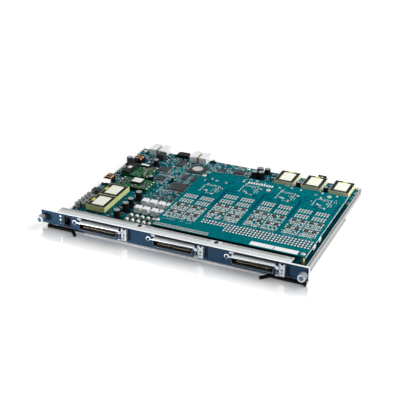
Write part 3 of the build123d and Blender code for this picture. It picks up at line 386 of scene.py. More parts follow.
# This shell finish is painted light: dark as shade all over, with a painted highlight on top.
plated = brushed(
    "shell_painted_shade", rgb(32, 44, 58), rgb(54, 68, 84), 0.3, 0.44, (0.2, 1.0, 1.0), 0.1, shell_highlight_and_shade
)
turned = brushed("turned_nickel", rgb(104, 112, 122), rgb(168, 176, 185), 0.16, 0.3, (1.0, 0.25, 1.0), 0.8)
screw_steel = brushed("screw_steel", rgb(166, 167, 164), rgb(222, 222, 218), 0.24, 0.4, EVEN, 0.8)
brass = brushed("brass_post", rgb(146, 126, 88), rgb(196, 178, 136), 0.3, 0.44, (1.0, 1.0, 0.2), 0.5)
gold = brushed("contact_gold", rgb(240, 228, 196), rgb(252, 246, 228), 0.34, 0.46, (1.0, 0.3, 1.0), 0.1)
tin = brushed("solder_tin", rgb(196, 198, 198), rgb(238, 239, 238), 0.26, 0.44)
bright_tin = brushed("bright_tin", rgb(226, 228, 227), rgb(250, 251, 250), 0.34, 0.5, EVEN, 0.2)
copper = brushed("enamel_copper", rgb(166, 108, 72), rgb(222, 172, 130), 0.24, 0.38, (1.0, 0.2, 1.0), 0.8)
dress(sheet, "top_flange")
dress(tray_sheet, "base_tray", "tray_pillars")
dress(spring_sheet, "emi_gasket")
dress(stamped, "bail_brackets", "hood_hooks", "lever_brackets", "lever_pins")
dress(spring_wire, *[f"bail_wire_{n}" for n in SOCKETS])
dress(plated, *[f"telco_shell_{n}" for n in SOCKETS])
dress(turned, "screw_ferrules")
for side in ("left", "right"):
    dress(turned, f"{side}_thumbscrew", f"{side}_screw_collar")
dress(screw_steel, "board_screws", "switch_lid")
dress(brass, "standoffs", "converter_pins")
dress(gold, "telco_contacts")
dress(dull_tin, "header_pins")
print("metals done")

# %% [markdown]
# ## Moulded plastics
# Connector bodies, levers and relay cases are moulded. They have an eroded texture of about a tenth of a
# millimetre. The relays are white above and black at the foot, and the arresters have white ends on a dark
# tube, so those two finishes switch colour by height and by length.


# %% Plastics
def moulded(name, dark, light, low, high, per_metre=4200, depth=0.03, shine=0.06):
    """A moulded plastic with an eroded grain."""
    mat = finish(name, light, low, 0.0, shine)
    coat(mat, tones(mat, dark, light, 120))
    rough_range(mat, low, high, 260)
    relief(mat, noise(mat, per_metre, 2.0), 0.18, depth)
    return mat


def two_tone(name, split_mm):
    """White above a height and near black below it."""
    mat = finish(name, rgb(246, 247, 246), 0.4, 0.0, 0.2)
    case = tones(mat, rgb(238, 240, 239), rgb(252, 253, 252), 150)
    coat(mat, case, ("place", "Z", BELOW, split_mm * MM, rgb(22, 23, 25)))
    rough_range(mat, 0.34, 0.5, 300)
    relief(mat, noise(mat, 4200, 2.0), 0.14, 0.03)
    return mat


RELAY_FOOT_TOP = 6.1
TERMINAL_DARK_BELOW = 9.0
black_mould = moulded("black_moulding", rgb(12, 13, 15), rgb(24, 26, 29), 0.36, 0.52)
lever_mould = moulded("lever_moulding", rgb(3, 3, 4), rgb(11, 12, 14), 0.3, 0.48, 2600, 0.05)
white_mould = moulded("white_moulding", rgb(244, 245, 245), rgb(254, 254, 254), 0.38, 0.5)
olive_mould = moulded("olive_blade", rgb(140, 138, 98), rgb(176, 172, 128), 0.4, 0.5)
package_mould = moulded("package_moulding", rgb(52, 56, 58), rgb(72, 77, 79), 0.5, 0.66, 5200, 0.04)
line_mould = moulded("line_moulding", rgb(66, 70, 70), rgb(92, 97, 96), 0.5, 0.66, 5200, 0.04)

low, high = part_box("surge_arresters")
cap_length = (high[1] - low[1]) / 4
arrester = finish("arrester_tube", rgb(236, 236, 228), 0.3)
cap_white = tones(arrester, rgb(226, 224, 210), rgb(246, 245, 238), 300)
front_cap = ("place", "Y", BELOW, low[1] + cap_length, cap_white)
rear_cap = ("place", "Y", ABOVE, high[1] - cap_length, cap_white)
coat(arrester, rgb(34, 35, 36), front_cap, rear_cap)
rough_range(arrester, 0.24, 0.4, 300)
relief(arrester, noise(arrester, 3000, 2.0), 0.12, 0.03)

dress(black_mould, *[f"telco_body_{n}" for n in SOCKETS], "rj_jack", "led_holder", "transformer_bobbins")
dress(black_mould, "choke_bodies", "choke_windings", "power_header", "mezzanine_header")
dress(lever_mould, "left_lever", "right_lever")
dress(white_mould, "backplane_blocks")
# The terminal block is white above and near black below this height.
dress(two_tone("terminal_case", TERMINAL_DARK_BELOW), "terminal_block")
dress(two_tone("relay_case", RELAY_FOOT_TOP), "line_relays")
dress(olive_mould, "backplane_keys")
dress(package_mould, "logic_chips", "switch_chip", "power_blocks")
dress(line_mould, "line_chips")
dress(arrester, "surge_arresters")
print("plastics done")

# %% [markdown]
# ## Ferrite, tape, cans and lights
# The transformers are a dark ferrite frame with a band of pale yellow tape and a cream wrapped coil. The tape
# of the three at the rear is paler. The capacitor cans have a black sleeve. Of the three indicator lights the
# upper two are lit.

# %% Ferrite, tape, sleeves and light pipes
LIT_FROM = 12.0 * MM
REAR_THREE_FROM = 0.0
ferrite = moulded("ferrite", rgb(20, 22, 24), rgb(40, 44, 48), 0.42, 0.6, 1500, 0.08)
coil_grey = moulded("drum_coil", rgb(70, 75, 76), rgb(150, 155, 155), 0.34, 0.5, 1500, 0.08, 0.3)
tape = finish("yellow_tape", rgb(222, 226, 146), 0.34)
tape_tone = tones(tape, rgb(222, 226, 142), rgb(240, 242, 176), 90, 3.0, (1.0, 1.0, 3.0))
coat(tape, tape_tone, ("place", "X", ABOVE, REAR_THREE_FROM, rgb(246, 246, 200)))
relief(tape, noise(tape, 700, 2.0, (0.2, 0.2, 1.6)), 0.2, 0.06)
rough_range(tape, 0.28, 0.42, 200)
wrap = moulded("coil_wrap", rgb(250, 250, 230), rgb(255, 255, 242), 0.4, 0.56, 900, 0.08)
sleeve = moulded("can_sleeve", rgb(24, 25, 28), rgb(40, 42, 46), 0.26, 0.4, 2600, 0.03)
can_top = brushed("can_top", rgb(122, 130, 136), rgb(176, 184, 190), 0.34, 0.5, EVEN, 0.6)

lens = finish("light_pipe", rgb(236, 238, 190), 0.18)
lit = calc(lens, ABOVE, axis_value(lens, "place", "Z"), LIT_FROM)
lit_tone = tones(lens, rgb(250, 250, 205), rgb(255, 255, 228), 500, 2.0)
coat(lens, blend(lens, lit, rgb(112, 120, 132), lit_tone))
inlet(lens, "Emission Color").default_value = rgb(255, 250, 190)
wire(lens, calc(lens, "MULTIPLY", lit, 0.55), inlet(lens, "Emission Strength"))

dress(ferrite, "transformer_cores", "converter_cores")
dress(coil_grey, "line_coils")
dress(tape, "transformer_tapes")
dress(wrap, "transformer_coils")
dress(sleeve, "can_capacitors")
dress(lens, "led_pipes")
print("ferrite, tape, sleeves and lights done")

# %% [markdown]
# ## Circuit board lacquer
# Solder lacquer is a thin coat over copper. Where copper lies under it the colour is lighter, between the
# tracks it is darker. Square cells make the copper areas, fine bands make the tracks, and small round cells
# make the plated holes. The cut edge of the board has its own colour at the sides, and at the front and back
# it is painted dark as shade.


# %% Board finishes
def lacquer(name, gap, track, deep, edge):
    """Solder lacquer with copper areas, tracks and plated holes."""
    mat = finish(name, track, 0.4, 0.0, 0.0)
    where = place(mat)
    areas = node(mat, "ShaderNodeTexVoronoi", {"Scale": 95.0}, distance="CHEBYCHEV", feature="F1")
    holes = node(mat, "ShaderNodeTexVoronoi", {"Scale": 330.0}, feature="F1")
    pick = node(mat, "ShaderNodeSeparateColor")
    bands = node(mat, "ShaderNodeMix", data_type="FLOAT")
    wire(mat, areas.outputs["Color"], pick.inputs[0])
    wire(mat, calc(mat, ABOVE, pick.outputs[0], 0.5), bands.inputs["Factor"])
    for direction, end in zip("XY", (bands.inputs[2], bands.inputs[3])):
        wave = node(mat, "ShaderNodeTexWave", {"Scale": 260.0, "Distortion": 0.4}, bands_direction=direction)
        wire(mat, where, wave.inputs["Vector"])
        wire(mat, wave.outputs["Fac"], end)
    for cells in (areas, holes):
        wire(mat, where, cells.inputs["Vector"])
    lines = calc(mat, ABOVE, bands.outputs[0], 0.62)
    tracked = calc(mat, "MULTIPLY", lines, calc(mat, ABOVE, pick.outputs[1], 0.35))
    tone = blend(mat, tracked, gap, track)
    tone = blend(mat, calc(mat, ABOVE, pick.outputs[2], 0.8), tone, deep)
    tone = blend(mat, calc(mat, BELOW, holes.outputs["Distance"], 0.11), tone, rgb(150, 186, 178))
    # Cut edges that look to the front or back are painted near black teal as shade.
    cut_edge = calc(mat, BELOW, axis_size(mat, "facing", "Z"), 0.5)
    side_edge_unshaded = calc(mat, ABOVE, axis_size(mat, "facing", "X"), 0.5)
    coat(mat, blend(mat, cut_edge, tone, blend(mat, side_edge_unshaded, rgb(8, 44, 42), edge)))
    relief(mat, tracked, 0.2, 0.03)
    rough_range(mat, 0.24, 0.4, 150)
    return mat


teal = lacquer("teal_lacquer", rgb(0, 92, 104), rgb(0, 108, 118), rgb(6, 70, 88), rgb(0, 66, 72))
deck_edge = rgb(226, 236, 232)
deck_teal = lacquer("daughter_lacquer", rgb(0, 109, 117), rgb(0, 116, 123), rgb(0, 104, 113), deck_edge)
green = lacquer("converter_lacquer", rgb(4, 92, 48), rgb(8, 116, 62), rgb(4, 66, 40), rgb(60, 96, 66))
dress(teal, "main_board", "riser_tab")
dress(deck_teal, "daughter_board")
dress(green, "converter_boards")
print("boards lacquered")

# %% [markdown]
# ## Many small parts in one mesh
# Thousands of chip resistors and leads would be slow as separate objects. A parts list collects boxes, round
# plates and rings in millimetres, and each list becomes one mesh with one finish. The places of the larger
# solids are read from the frame's own meshes, so the small parts always sit beside what the solids show.


# %% Parts lists
def circle(r, sides):
    """Points of a circle about the origin."""
    angles = [2 * math.pi * k / sides for k in range(sides)]
    return [(r * math.cos(a), r * math.sin(a)) for a in angles]


def stacked(x, y, levels, sides):
    """Points of circles about an upright axis, one circle for each height and radius."""
    return [(x + dx, y + dy, z) for z, r in levels for dx, dy in circle(r, sides)]


class PartsList:
    """Small solids in millimetres, made into one mesh."""

    def __init__(self):
        self.verts = []
        self.faces = []

    def add(self, points):
        """Adds points and gives the number of the first."""
        start = len(self.verts)
        self.verts.extend((x * MM, y * MM, z * MM) for x, y, z in points)
        return start

    def join(self, start, sides, first, second):
        """Faces between two loops of points."""
        a = start + first * sides
        b = start + second * sides
        for k in range(sides):
            after = (k + 1) % sides
            self.faces.append((a + k, a + after, b + after, b + k))

    def prism(self, points, sides):
        """Loops of points, each joined to the next and the two ends closed."""
        start = self.add(points)
        end = start + len(points)
        for loop in range(len(points) // sides - 1):
            self.join(start, sides, loop, loop + 1)
        self.faces.append(tuple(reversed(range(start, start + sides))))
        self.faces.append(tuple(range(end - sides, end)))

    def box(self, x, y, z, w, d, h, turn=0.0):
        """A box standing on z, centred on x and y, turned about the vertical."""
        c = math.cos(turn)
        s = math.sin(turn)
        offsets = [(sx * w / 2, sy * d / 2) for sx, sy in CORNERS]
        plan = [(x + dx * c - dy * s, y + dx * s + dy * c) for dx, dy in offsets]
        self.prism([(px, py, level) for level in (z, z + h) for px, py in plan], 4)

    def bar(self, upright, x, y, z, length, width, h, along=0.0, aside=0.0):
        """A box along X, or along Y if upright, shifted along and aside from x and y."""
        if upright:
            self.box(x + aside, y + along, z, width, length, h)
        else:
            self.box(x + along, y + aside, z, length, width, h)

    def plate(self, x, y, z, r, h, sides=20, bevel=0.0):
        """A round plate standing on z, with a bevelled rim."""
        levels = [(z, r), (z + h - bevel, r), (z + h, r - bevel)] if bevel else [(z, r), (z + h, r)]
        self.prism(stacked(x, y, levels, sides), sides)

    def dial(self, x, y, z, r, h, sides=28):
        """A round plate that faces the front, from y to y + h."""
        self.prism([(x + dx, depth, z + dz) for depth in (y, y + h) for dx, dz in circle(r, sides)], sides)

    def ring(self, x, y, z, r, hole, h, sides=24):
        """A flat ring standing on z, open in its middle."""
        levels = ((z, hole), (z, r), (z + h, r), (z + h, hole))
        start = self.add(stacked(x, y, levels, sides))
        for loop in range(4):
            self.join(start, sides, (loop + 1) % 4, loop)

    def wire_turn(self, x, y, z, radius, thick, around=20, tube=8):
        """One closed turn of wire round the Y axis."""
        points = []
        for cos_a, sin_a in circle(1.0, around):
            for dr, dy in circle(thick, tube):
                points.append((x + (radius + dr) * cos_a, y + dy, z + (radius + dr) * sin_a))
        start = self.add(points)
        for loop in range(around):
            self.join(start, tube, loop, (loop + 1) % around)

    def piece(self, name, mat, slot, body=CARD):
        """The finished mesh, riding on a body."""
        mesh = bpy.data.meshes.new(name)
        mesh.from_pydata(self.verts, [], self.faces)
        mesh.update()
        mesh.materials.append(mat)
        made = bpy.data.objects.new(name, mesh)
        scene.collection.objects.link(made)
        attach(made, body)
        print(name, len(self.faces), "faces")


def solid_boxes(name):
    """Lowest and highest corners, in millimetres, of each separate solid of a node."""
    work = bmesh.new()
    work.from_mesh(nodes[name].data)
    bmesh.ops.remove_doubles(work, verts=work.verts, dist=1e-6)
    left = set(work.verts)
    boxes = []
    while left:
        queue = [left.pop()]
        group = []
        while queue:
            vert = queue.pop()
            group.append(vert.co / MM)
            for edge in vert.link_edges:
                other = edge.other_vert(vert)
                if other in left:
                    left.remove(other)
                    queue.append(other)
        low = Vector([min(p[k] for p in group) for k in range(3)])
        high = Vector([max(p[k] for p in group) for k in range(3)])
        boxes.append((low, high))
    work.free()
    return sorted(boxes, key=lambda pair: (round(pair[0].y), round(pair[0].x)))


def box_mm(name):
    """A whole node's corners in millimetres."""
    low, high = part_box(name)
    return Vector(low) / MM, Vector(high) / MM


def centre(low, high):
    """The middle of a box."""
    return [(a + b) / 2 for a, b in zip(low, high)]


def spot(x, y):
    """A place measured along the panel from its left end and back from its face."""
    return panel_low.x + x, panel_low.y + y


def steps(start, stop, pitch):
    """Places from start on, one pitch apart and short of stop."""
    while start < stop:
        yield start
        start += pitch


panel_low = box_mm("front_panel")[0]
board_low, board_high = box_mm("main_board")
deck_low, deck_high = box_mm("daughter_board")
BOARD_TOP = board_high.z
DECK_TOP = deck_high.z
INK = 0.03
print("board top", round(BOARD_TOP, 2), "daughter board top", round(DECK_TOP, 2))

# %% [markdown]
# ## Leads of the packages
# A flat package stands on rows of bent leads: a shoulder at the body and a foot on the board. Square packages
# have them on four sides and oblong ones on two. At this size the row reads as a bright fringe.

# %% Package leads and pin one marks
SIDES = ((False, -1), (False, 1))
FRONT_REAR = ((True, -1), (True, 1))
SHOULDER = 0.5
SHOULDER_H = 0.75
FOOT_H = 0.16
ROW_MARGIN = 1.2
MARK_SINK = 0.02
MARK_H = 0.04
SQUARE_W = 14
SQUARE_D = 13


def add_leads(leads, low, high, level, sides, pitch, width, reach):
    """Rows of leads round a package; a side is a direction, upright for front and rear, and a sign."""
    cx, cy, _ = centre(low, high)
    w = high.x - low.x
    d = high.y - low.y
    for upright, sign in sides:
        row, half = (w, d / 2) if upright else (d, w / 2)
        count = max(2, int((row - ROW_MARGIN) / pitch))
        for k in range(count):
            aside = (k - (count - 1) / 2) * pitch
            shoulder = sign * (half + SHOULDER / 2)
            foot = sign * (half + SHOULDER + reach / 2)
            leads.bar(upright, cx, cy, level, SHOULDER, width, SHOULDER_H, shoulder, aside)
            leads.bar(upright, cx, cy, level, reach, width, FOOT_H, foot, aside)


leads = PartsList()
marks = PartsList()
for low, high in solid_boxes("logic_chips"):
    w = high.x - low.x
    d = high.y - low.y
    short = min(w, d)
    if w > SQUARE_W and d > SQUARE_D:
        add_leads(leads, low, high, BOARD_TOP, SIDES + FRONT_REAR, 0.8, 0.42, 0.9)
    elif w >= d:
        add_leads(leads, low, high, BOARD_TOP, FRONT_REAR, 1.27, 0.6, 0.8)
    else:
        add_leads(leads, low, high, BOARD_TOP, SIDES, 1.0, 0.5, 0.8)
    marks.plate(low.x + short * 0.16, low.y + short * 0.16, high.z - MARK_SINK, short * 0.045, MARK_H)
line_boxes = solid_boxes("line_chips")
for low, high in line_boxes:
    add_leads(leads, low, high, DECK_TOP, SIDES, 1.0, 0.45, 0.5)
    marks.plate(low.x + 1.3, low.y + 1.3, high.z - MARK_SINK, 0.4, MARK_H)
leads.piece("package_leads", tin, "steel")
mark_grey = moulded("pin_mark", rgb(96, 100, 104), rgb(120, 124, 128), 0.4, 0.5)
marks.piece("pin_one_marks", mark_grey, "chip_black")

# %% [markdown]
# ## Chip resistors and capacitors
# The boards are covered with two ended chips about three millimetres long. On the daughter board they stand
# in tidy columns round the line packages, because every line has the same circuit. On the main board they
# follow no grid, so they are scattered with a fixed seed and kept off everything that already stands there.


# %% Two ended chips
class Passives:
    """Bodies of two colours, tinned ends and the white outline bars beside them."""

    def __init__(self):
        self.dark = PartsList()
        self.tan = PartsList()
        self.ends = PartsList()
        self.ink = PartsList()

    def chip(self, x, y, z, length, width, tall, upright, dark=False, outline=False):
        """One two ended chip; upright turns it from along X to along Y."""
        bodies = self.dark if dark else self.tan
        end = length * 0.24
        bodies.bar(upright, x, y, z, length - 2 * end, width * 0.94, tall * 0.96)
        for sign in (-1, 1):
            self.ends.bar(upright, x, y, z, end, width, tall, sign * (length - end) / 2)
            if outline:
                self.ink.bar(upright, x, y, z, length * 0.9, 0.22, INK, 0.0, sign * width * 0.75)

    def pieces(self, board, tan, ends):
        """The four lists as pieces of a board; one without drawn outlines has three."""
        self.dark.piece(f"{board}_resistors", resistor_black, "chip_black")
        self.tan.piece(f"{board}_capacitors", tan, "chip_black")
        self.ends.piece(f"{board}_chip_ends", ends, "steel")
        if self.ink.faces:
            self.ink.piece(f"{board}_outlines", board_ink, "white_plastic")


def keep_clear(names, margin):
    """Plan rectangles that small parts stay out of."""
    rectangles = []
    for name in names:
        for low, high in solid_boxes(name):
            rectangles.append((low.x - margin, low.y - margin, high.x + margin, high.y + margin))
    return rectangles


def is_free(x, y, half_x, half_y, rectangles):
    """True if a part of that half size touches none of the rectangles."""
    for x0, y0, x1, y1 in rectangles:
        if x0 < x + half_x and x - half_x < x1 and y0 < y + half_y and y - half_y < y1:
            return False
    return True


resistor_black = moulded("resistor_body", rgb(58, 54, 54), rgb(96, 88, 84), 0.4, 0.54)
capacitor_tan = moulded("capacitor_body", rgb(196, 182, 166), rgb(232, 222, 210), 0.42, 0.56)
capacitor_pale = moulded("pale_body", rgb(206, 204, 198), rgb(236, 234, 229), 0.42, 0.56)
board_ink = moulded("board_ink", rgb(214, 226, 226), rgb(236, 244, 243), 0.5, 0.6)
print("chip finishes ready")

# %% [markdown]
# Every line package has the same company: a chip at each side, a dark part at its front end and a field of
# three rows of four chips in front of that. A little seeded unevenness keeps the fields from looking stamped.

# %% Daughter board: the same parts round every line package
dice = random.Random(11)
deck = Passives()
deck_taken = keep_clear(["line_chips"], 1.1) + keep_clear(["board_screws", "header_pins"], 1.2)
SIDE_STEP = 5.0
FIELD_START = 4.4
FIELD_STEP_X = 3.2
FIELD_STEP_Y = 5.6
FIELD_ROWS = 3
FIELD_COLUMNS = 4
LEFT_OUT = 0.08
DARK_SHARE = 0.22
for low, high in line_boxes:
    cx, cy, _ = centre(low, high)
    for side in (-1, 1):
        x = cx + side * SIDE_STEP
        if is_free(x, cy, 0.6, 1.2, deck_taken):
            deck.chip(x, cy - 0.4, DECK_TOP, 4.6, 1.5, 0.7, True)
    deck.dark.box(cx, low.y - 1.1, DECK_TOP, (high.x - low.x) * 0.86, 2.0, 0.5)
    for row in range(FIELD_ROWS):
        for column in range(FIELD_COLUMNS):
            x = cx + (column - (FIELD_COLUMNS - 1) / 2) * FIELD_STEP_X + dice.uniform(-0.35, 0.35)
            y = low.y - FIELD_START - row * FIELD_STEP_Y + dice.uniform(-0.5, 0.5)
            if dice.random() < LEFT_OUT or not is_free(x, y, 0.9, 1.6, deck_taken):
                continue
            upright = (row + column) % 4 != 1
            length = 3.7 if upright else 2.8
            deck.chip(x, y, DECK_TOP, length, 1.75, 0.8, upright, dice.random() < DARK_SHARE)
print("daughter board chips:", len(deck.ends.faces) // 12)

# %% [markdown]
# Behind each group of four packages stand two rows of paired chips, and in front of its fields a band of
# short drawn dashes runs along the solder pads. The groups are found from the packages' own places: sorted
# along the panel and taken four by four.

# %% Daughter board: paired chips behind the packages and dashes in front of them
GROUP = 4
GROUP_MARGIN = 1.6
PAIR_STEP = 4.4
PAIR_ROWS = (10.0, 27.5)
DASHES = 9
DASH_ROWS = (21.0, 24.0)
DASH_SHARE = 0.66
columns_seen = sorted((low.x, low.y, high.x, high.y) for low, high in line_boxes)
for n in range(0, len(columns_seen), GROUP):
    four = columns_seen[n:n + GROUP]
    x0 = min(c[0] for c in four) - GROUP_MARGIN
    x1 = max(c[2] for c in four) + GROUP_MARGIN
    rear = max(c[3] for c in four)
    front = min(c[1] for c in four)
    count = int((x1 - x0) / PAIR_STEP)
    for back in PAIR_ROWS:
        y = rear + back
        for k in range(count):
            x = x0 + (k + 0.5) * (x1 - x0) / count
            if not is_free(x, y, 1.6, 4.4, deck_taken):
                continue
            for shift in (-3.2, 3.2):
                deck.chip(x - 0.7, y + shift, DECK_TOP, 5.0, 1.3, 0.8, True)
            deck.ends.box(x + 0.7, y + 4.9, DECK_TOP, 1.4, 1.5, 0.7)
            deck.dark.box(x + 0.6, y + 2.6, DECK_TOP, 1.1, 1.6, 0.7)
            deck.ends.box(x + 0.6, y - 1.6, DECK_TOP, 1.2, 1.3, 0.7)
    for k in range(DASHES):
        x = x0 + (k + 0.5) * (x1 - x0) / DASHES
        for ahead in DASH_ROWS:
            if dice.random() < DASH_SHARE:
                turn = dice.choice((0.0, 0.0, math.pi / 2))
                deck.ink.box(x, front - ahead, DECK_TOP, 1.3, 0.5, INK, turn)
print("with the paired rows:", len(deck.ends.faces) // 12)

# %% [markdown]
# The rear half of the daughter board is calmer: four like circuits with a few loose parts, drawn outlines and
# dark tracks between them. One circuit is described once and repeated with its own small changes. The places
# are millimetres from the panel's left end and face, and those of a circuit's parts from its own corner.

# %% Daughter board: four outlined circuits and the tracks between the fields
tracks = PartsList()
CIRCUITS = [(188.3, 170.0), (246.8, 193.0), (308.4, 194.0), (368.6, 194.2)]
LONG_BARS = [(1.0, 22.5, 20.0, 0.7), (7.0, 26.0, 18.0, 0.7), (-2.0, 0.0, 4.0, 0.8), (12.0, -4.0, 9.0, 0.6)]
DEEP_BARS = [(0.5, 1.0, 22.0, 0.8), (25.0, 1.5, 27.0, 0.9), (21.5, 8.0, 19.0, 0.6), (29.0, 3.0, 13.0, 0.6)]
LOOSE = [
    (10.8, 1.5), (22.4, -5.5), (31.4, 20.0), (4.0, 27.0), (-6.0, 36.0), (14.0, 42.5), (29.0, 41.5),
    (3.4, 45.5), (8.5, 5.0),
]
LOOSE_HALF = 2.2
LOOSE_PADS = 6
ROW_PADS = 10
ROW_FIRST = 251.0
ROW_STEP = 4.4
ROW_BACK = 228.0
TRACKS = [
    (198.4, 138, 164, 2.4), (228.6, 128, 192, 4.2), (259.9, 150, 186, 2.4), (289.4, 134, 200, 4.4),
    (320.1, 150, 186, 2.4), (349.8, 134, 200, 4.4), (380.3, 150, 186, 2.4), (408.0, 170, 210, 2.6),
    (229.6, 90, 128, 1.2), (289.8, 92, 134, 1.2), (350.2, 92, 134, 1.2),
]
DARK_AREAS = [
    (189, 206, 12, 4), (180, 224, 7, 5), (226, 214, 9, 4), (208, 160, 12, 4), (236, 196, 13, 3),
    (240, 186, 12, 3), (262, 192, 12, 3), (276, 186, 5, 8), (296, 203, 15, 3), (316, 188, 5, 5),
    (340, 190, 12, 3), (356, 206, 13, 3), (376, 188, 9, 3), (344, 208, 7, 4), (352, 216, 6, 4),
    (186, 216, 6, 5), (300, 186, 9, 4), (347, 200, 6, 3),
]
for x0, y0 in CIRCUITS:
    for fx, fy, length, width in LONG_BARS:
        x, y = spot(x0 + fx + length / 2, y0 + fy)
        deck.ink.box(x, y, DECK_TOP, length, width, INK)
    for fx, near, far, width in DEEP_BARS:
        x, y = spot(x0 + fx, y0 + (near + far) / 2)
        deck.ink.box(x, y, DECK_TOP, width, far - near, INK)
    for fx, fy in LOOSE:
        x, y = spot(x0 + fx + dice.uniform(-1.5, 1.5), y0 + fy + dice.uniform(-1.5, 1.5))
        inside = x + LOOSE_HALF < deck_high.x and y + LOOSE_HALF < deck_high.y
        if inside and is_free(x, y, LOOSE_HALF, LOOSE_HALF, deck_taken):
            deck.chip(x, y, DECK_TOP, 4.0, 2.2, 1.1, dice.random() < 0.5, dice.random() < 0.5, True)
    for k in range(LOOSE_PADS):
        x, y = spot(x0 + dice.uniform(-6, 32), y0 + dice.uniform(-6, 44))
        if is_free(x, y, 1.2, 1.2, deck_taken):
            deck.ends.plate(x, y, DECK_TOP, dice.uniform(0.6, 1.1), 0.08, 12)
for k in range(ROW_PADS):
    x, y = spot(ROW_FIRST + k * ROW_STEP, ROW_BACK)
    deck.ends.box(x, y, DECK_TOP, 2.7, 6.4, 0.3)
    tracks.box(x + ROW_STEP / 2, y, DECK_TOP, 1.0, 6.0, 0.02)
for x, y0, y1, width in TRACKS:
    cx, cy = spot(x, (y0 + y1) / 2)
    tracks.box(cx, cy, DECK_TOP, width, y1 - y0, 0.02)
for x, y, w, d in DARK_AREAS:
    cx, cy = spot(x, y)
    tracks.box(cx, cy, DECK_TOP, w, d, 0.015, dice.choice((0.0, 0.0, math.pi / 4)))
track_blue = moulded("deep_track", rgb(6, 70, 94), rgb(16, 80, 104), 0.4, 0.5, 4200, 0.03, 0.0)
tracks.piece("daughter_tracks", track_blue, "board_teal")

# %% [markdown]
# ## Solder field, labels and header of the daughter board
# The front right of the daughter board carries rows of square solder pads, with thin dark strips of painted
# shade between the columns and between the header's joints. In front of them are two blank labels, and the
# converters' cores have one each. They are thin plates with a small thickness, so that their edge catches
# light as paper does.

# %% Solder field and blank labels
pads = PartsList()
shade_strips = PartsList()
PAD_COLUMNS = 35
PAD_FIRST = 235.8
PAD_PITCH = 5.06
PAD_ROWS = (62.0, 68.2, 74.4, 80.6)
FOUR_ROWS_FROM = 272
JOINTS = 52
JOINT_OUT = 0.6
DECK_LABELS = ((325.8, 361.6), (362.6, 399.0))
LABEL_BACK = 43.6
LABEL_DEEP = 10.4
CORE_LABELS = [(1.0, 1.0), (0.42, 0.24), (0.8, 0.8)]
for k in range(PAD_COLUMNS):
    px = PAD_FIRST + k * PAD_PITCH
    rows = PAD_ROWS if px > FOUR_ROWS_FROM else PAD_ROWS[2:]
    for py in rows:
        x, y = spot(px, py)
        pads.box(x, y, DECK_TOP, 2.7, 3.0, 0.1)
        pads.plate(x, y, DECK_TOP + 0.1, 0.7, 0.25, 10, 0.1)
    x, y = spot(px + PAD_PITCH / 2, (rows[0] + rows[-1]) / 2)
    # A dark strip of painted shade between the pad columns.
    shade_strips.box(x, y, DECK_TOP, 1.5, rows[-1] - rows[0] + 4, 0.02)
header_low, header_high = box_mm("header_pins")
joint_step = (header_high.x - header_low.x) / (JOINTS - 1)
header_y = (header_low.y + header_high.y) / 2
for k in range(JOINTS):
    x = header_low.x + k * joint_step
    for y in (header_low.y - JOINT_OUT, header_high.y + JOINT_OUT):
        pads.box(x, y, DECK_TOP, joint_step * 0.5, 3.0, 0.3)
    # A dark strip of painted shade between the header's joints.
    shade_strips.box(x + joint_step / 2, header_y, DECK_TOP, joint_step * 0.42, 8.0, 0.02)
pads.piece("solder_pads", bright_tin, "steel")
strip_shade_blue = moulded("pad_shade_strip", rgb(14, 40, 58), rgb(24, 54, 72), 0.4, 0.5)
shade_strips.piece("pad_shade_strips", strip_shade_blue, "board_teal")
paper = moulded("blank_label", rgb(236, 238, 238), rgb(250, 251, 251), 0.5, 0.62, 1600, 0.03)
labels = PartsList()
for x0, x1 in DECK_LABELS:
    x, y = spot((x0 + x1) / 2, LABEL_BACK)
    labels.box(x, y, DECK_TOP, x1 - x0, LABEL_DEEP, 0.12)
for (wide, deep), (low, high) in zip(CORE_LABELS, solid_boxes("converter_cores")):
    cx, cy, _ = centre(low, high)
    labels.box(cx, cy, high.z, (high.x - low.x) * wide, (high.y - low.y) * deep, 0.1)
labels.piece("blank_labels", paper, "white_plastic")
deck.pieces("daughter", capacitor_pale, bright_tin)

# %% [markdown]
# ## Main board
# The rectifiers, dark boxes with a tab at each end, are tried at seeded places among the cans. Then a loose
# grid is walked, and each free place gets a small chip or stays empty. The rear of the board is the busier.
# Nothing is put under the daughter board, which would hide it, and the chips keep out of a wider area there.

# %% Main board: scattered chips
STANDING = [
    "transformer_tapes", "can_capacitors", "line_relays", "surge_arresters", "converter_boards",
    "choke_bodies", "terminal_block", "logic_chips", "switch_chip", "backplane_blocks", "backplane_keys",
    "power_header", "power_blocks", "line_coils", "riser_tab", *[f"telco_body_{n}" for n in SOCKETS],
    "rj_jack", "led_holder", "board_screws", "mezzanine_header", "standoffs",
]
RECTIFIER_TRIES = 70
RECTIFIERS_X = (62, 150)
RECTIFIERS_Y = (28, 130)
RECTIFIER_TAB = 2.6
GRID_X = 3.5
GRID_Y = 3.7
BUSY_FROM = 165
base = Passives()
taken = keep_clear(STANDING, 1.7)
taken.append((deck_low.x + 1, deck_low.y + 1, deck_high.x - 4, deck_high.y - 19))
for k in range(RECTIFIER_TRIES):
    px, py = spot(dice.uniform(*RECTIFIERS_X), dice.uniform(*RECTIFIERS_Y))
    if is_free(px, py, 2.6, 2.2, taken):
        base.dark.box(px, py, BOARD_TOP, 4.4, 3.5, 2.3)
        for sign in (-1, 1):
            base.ends.box(px + sign * RECTIFIER_TAB, py, BOARD_TOP, 0.9, 2.0, 0.5)
        taken.append((px - 3.2, py - 2.0, px + 3.2, py + 2.0))
taken.append((deck_low.x + 16, deck_low.y + 1, deck_high.x + 3, deck_high.y + 1))
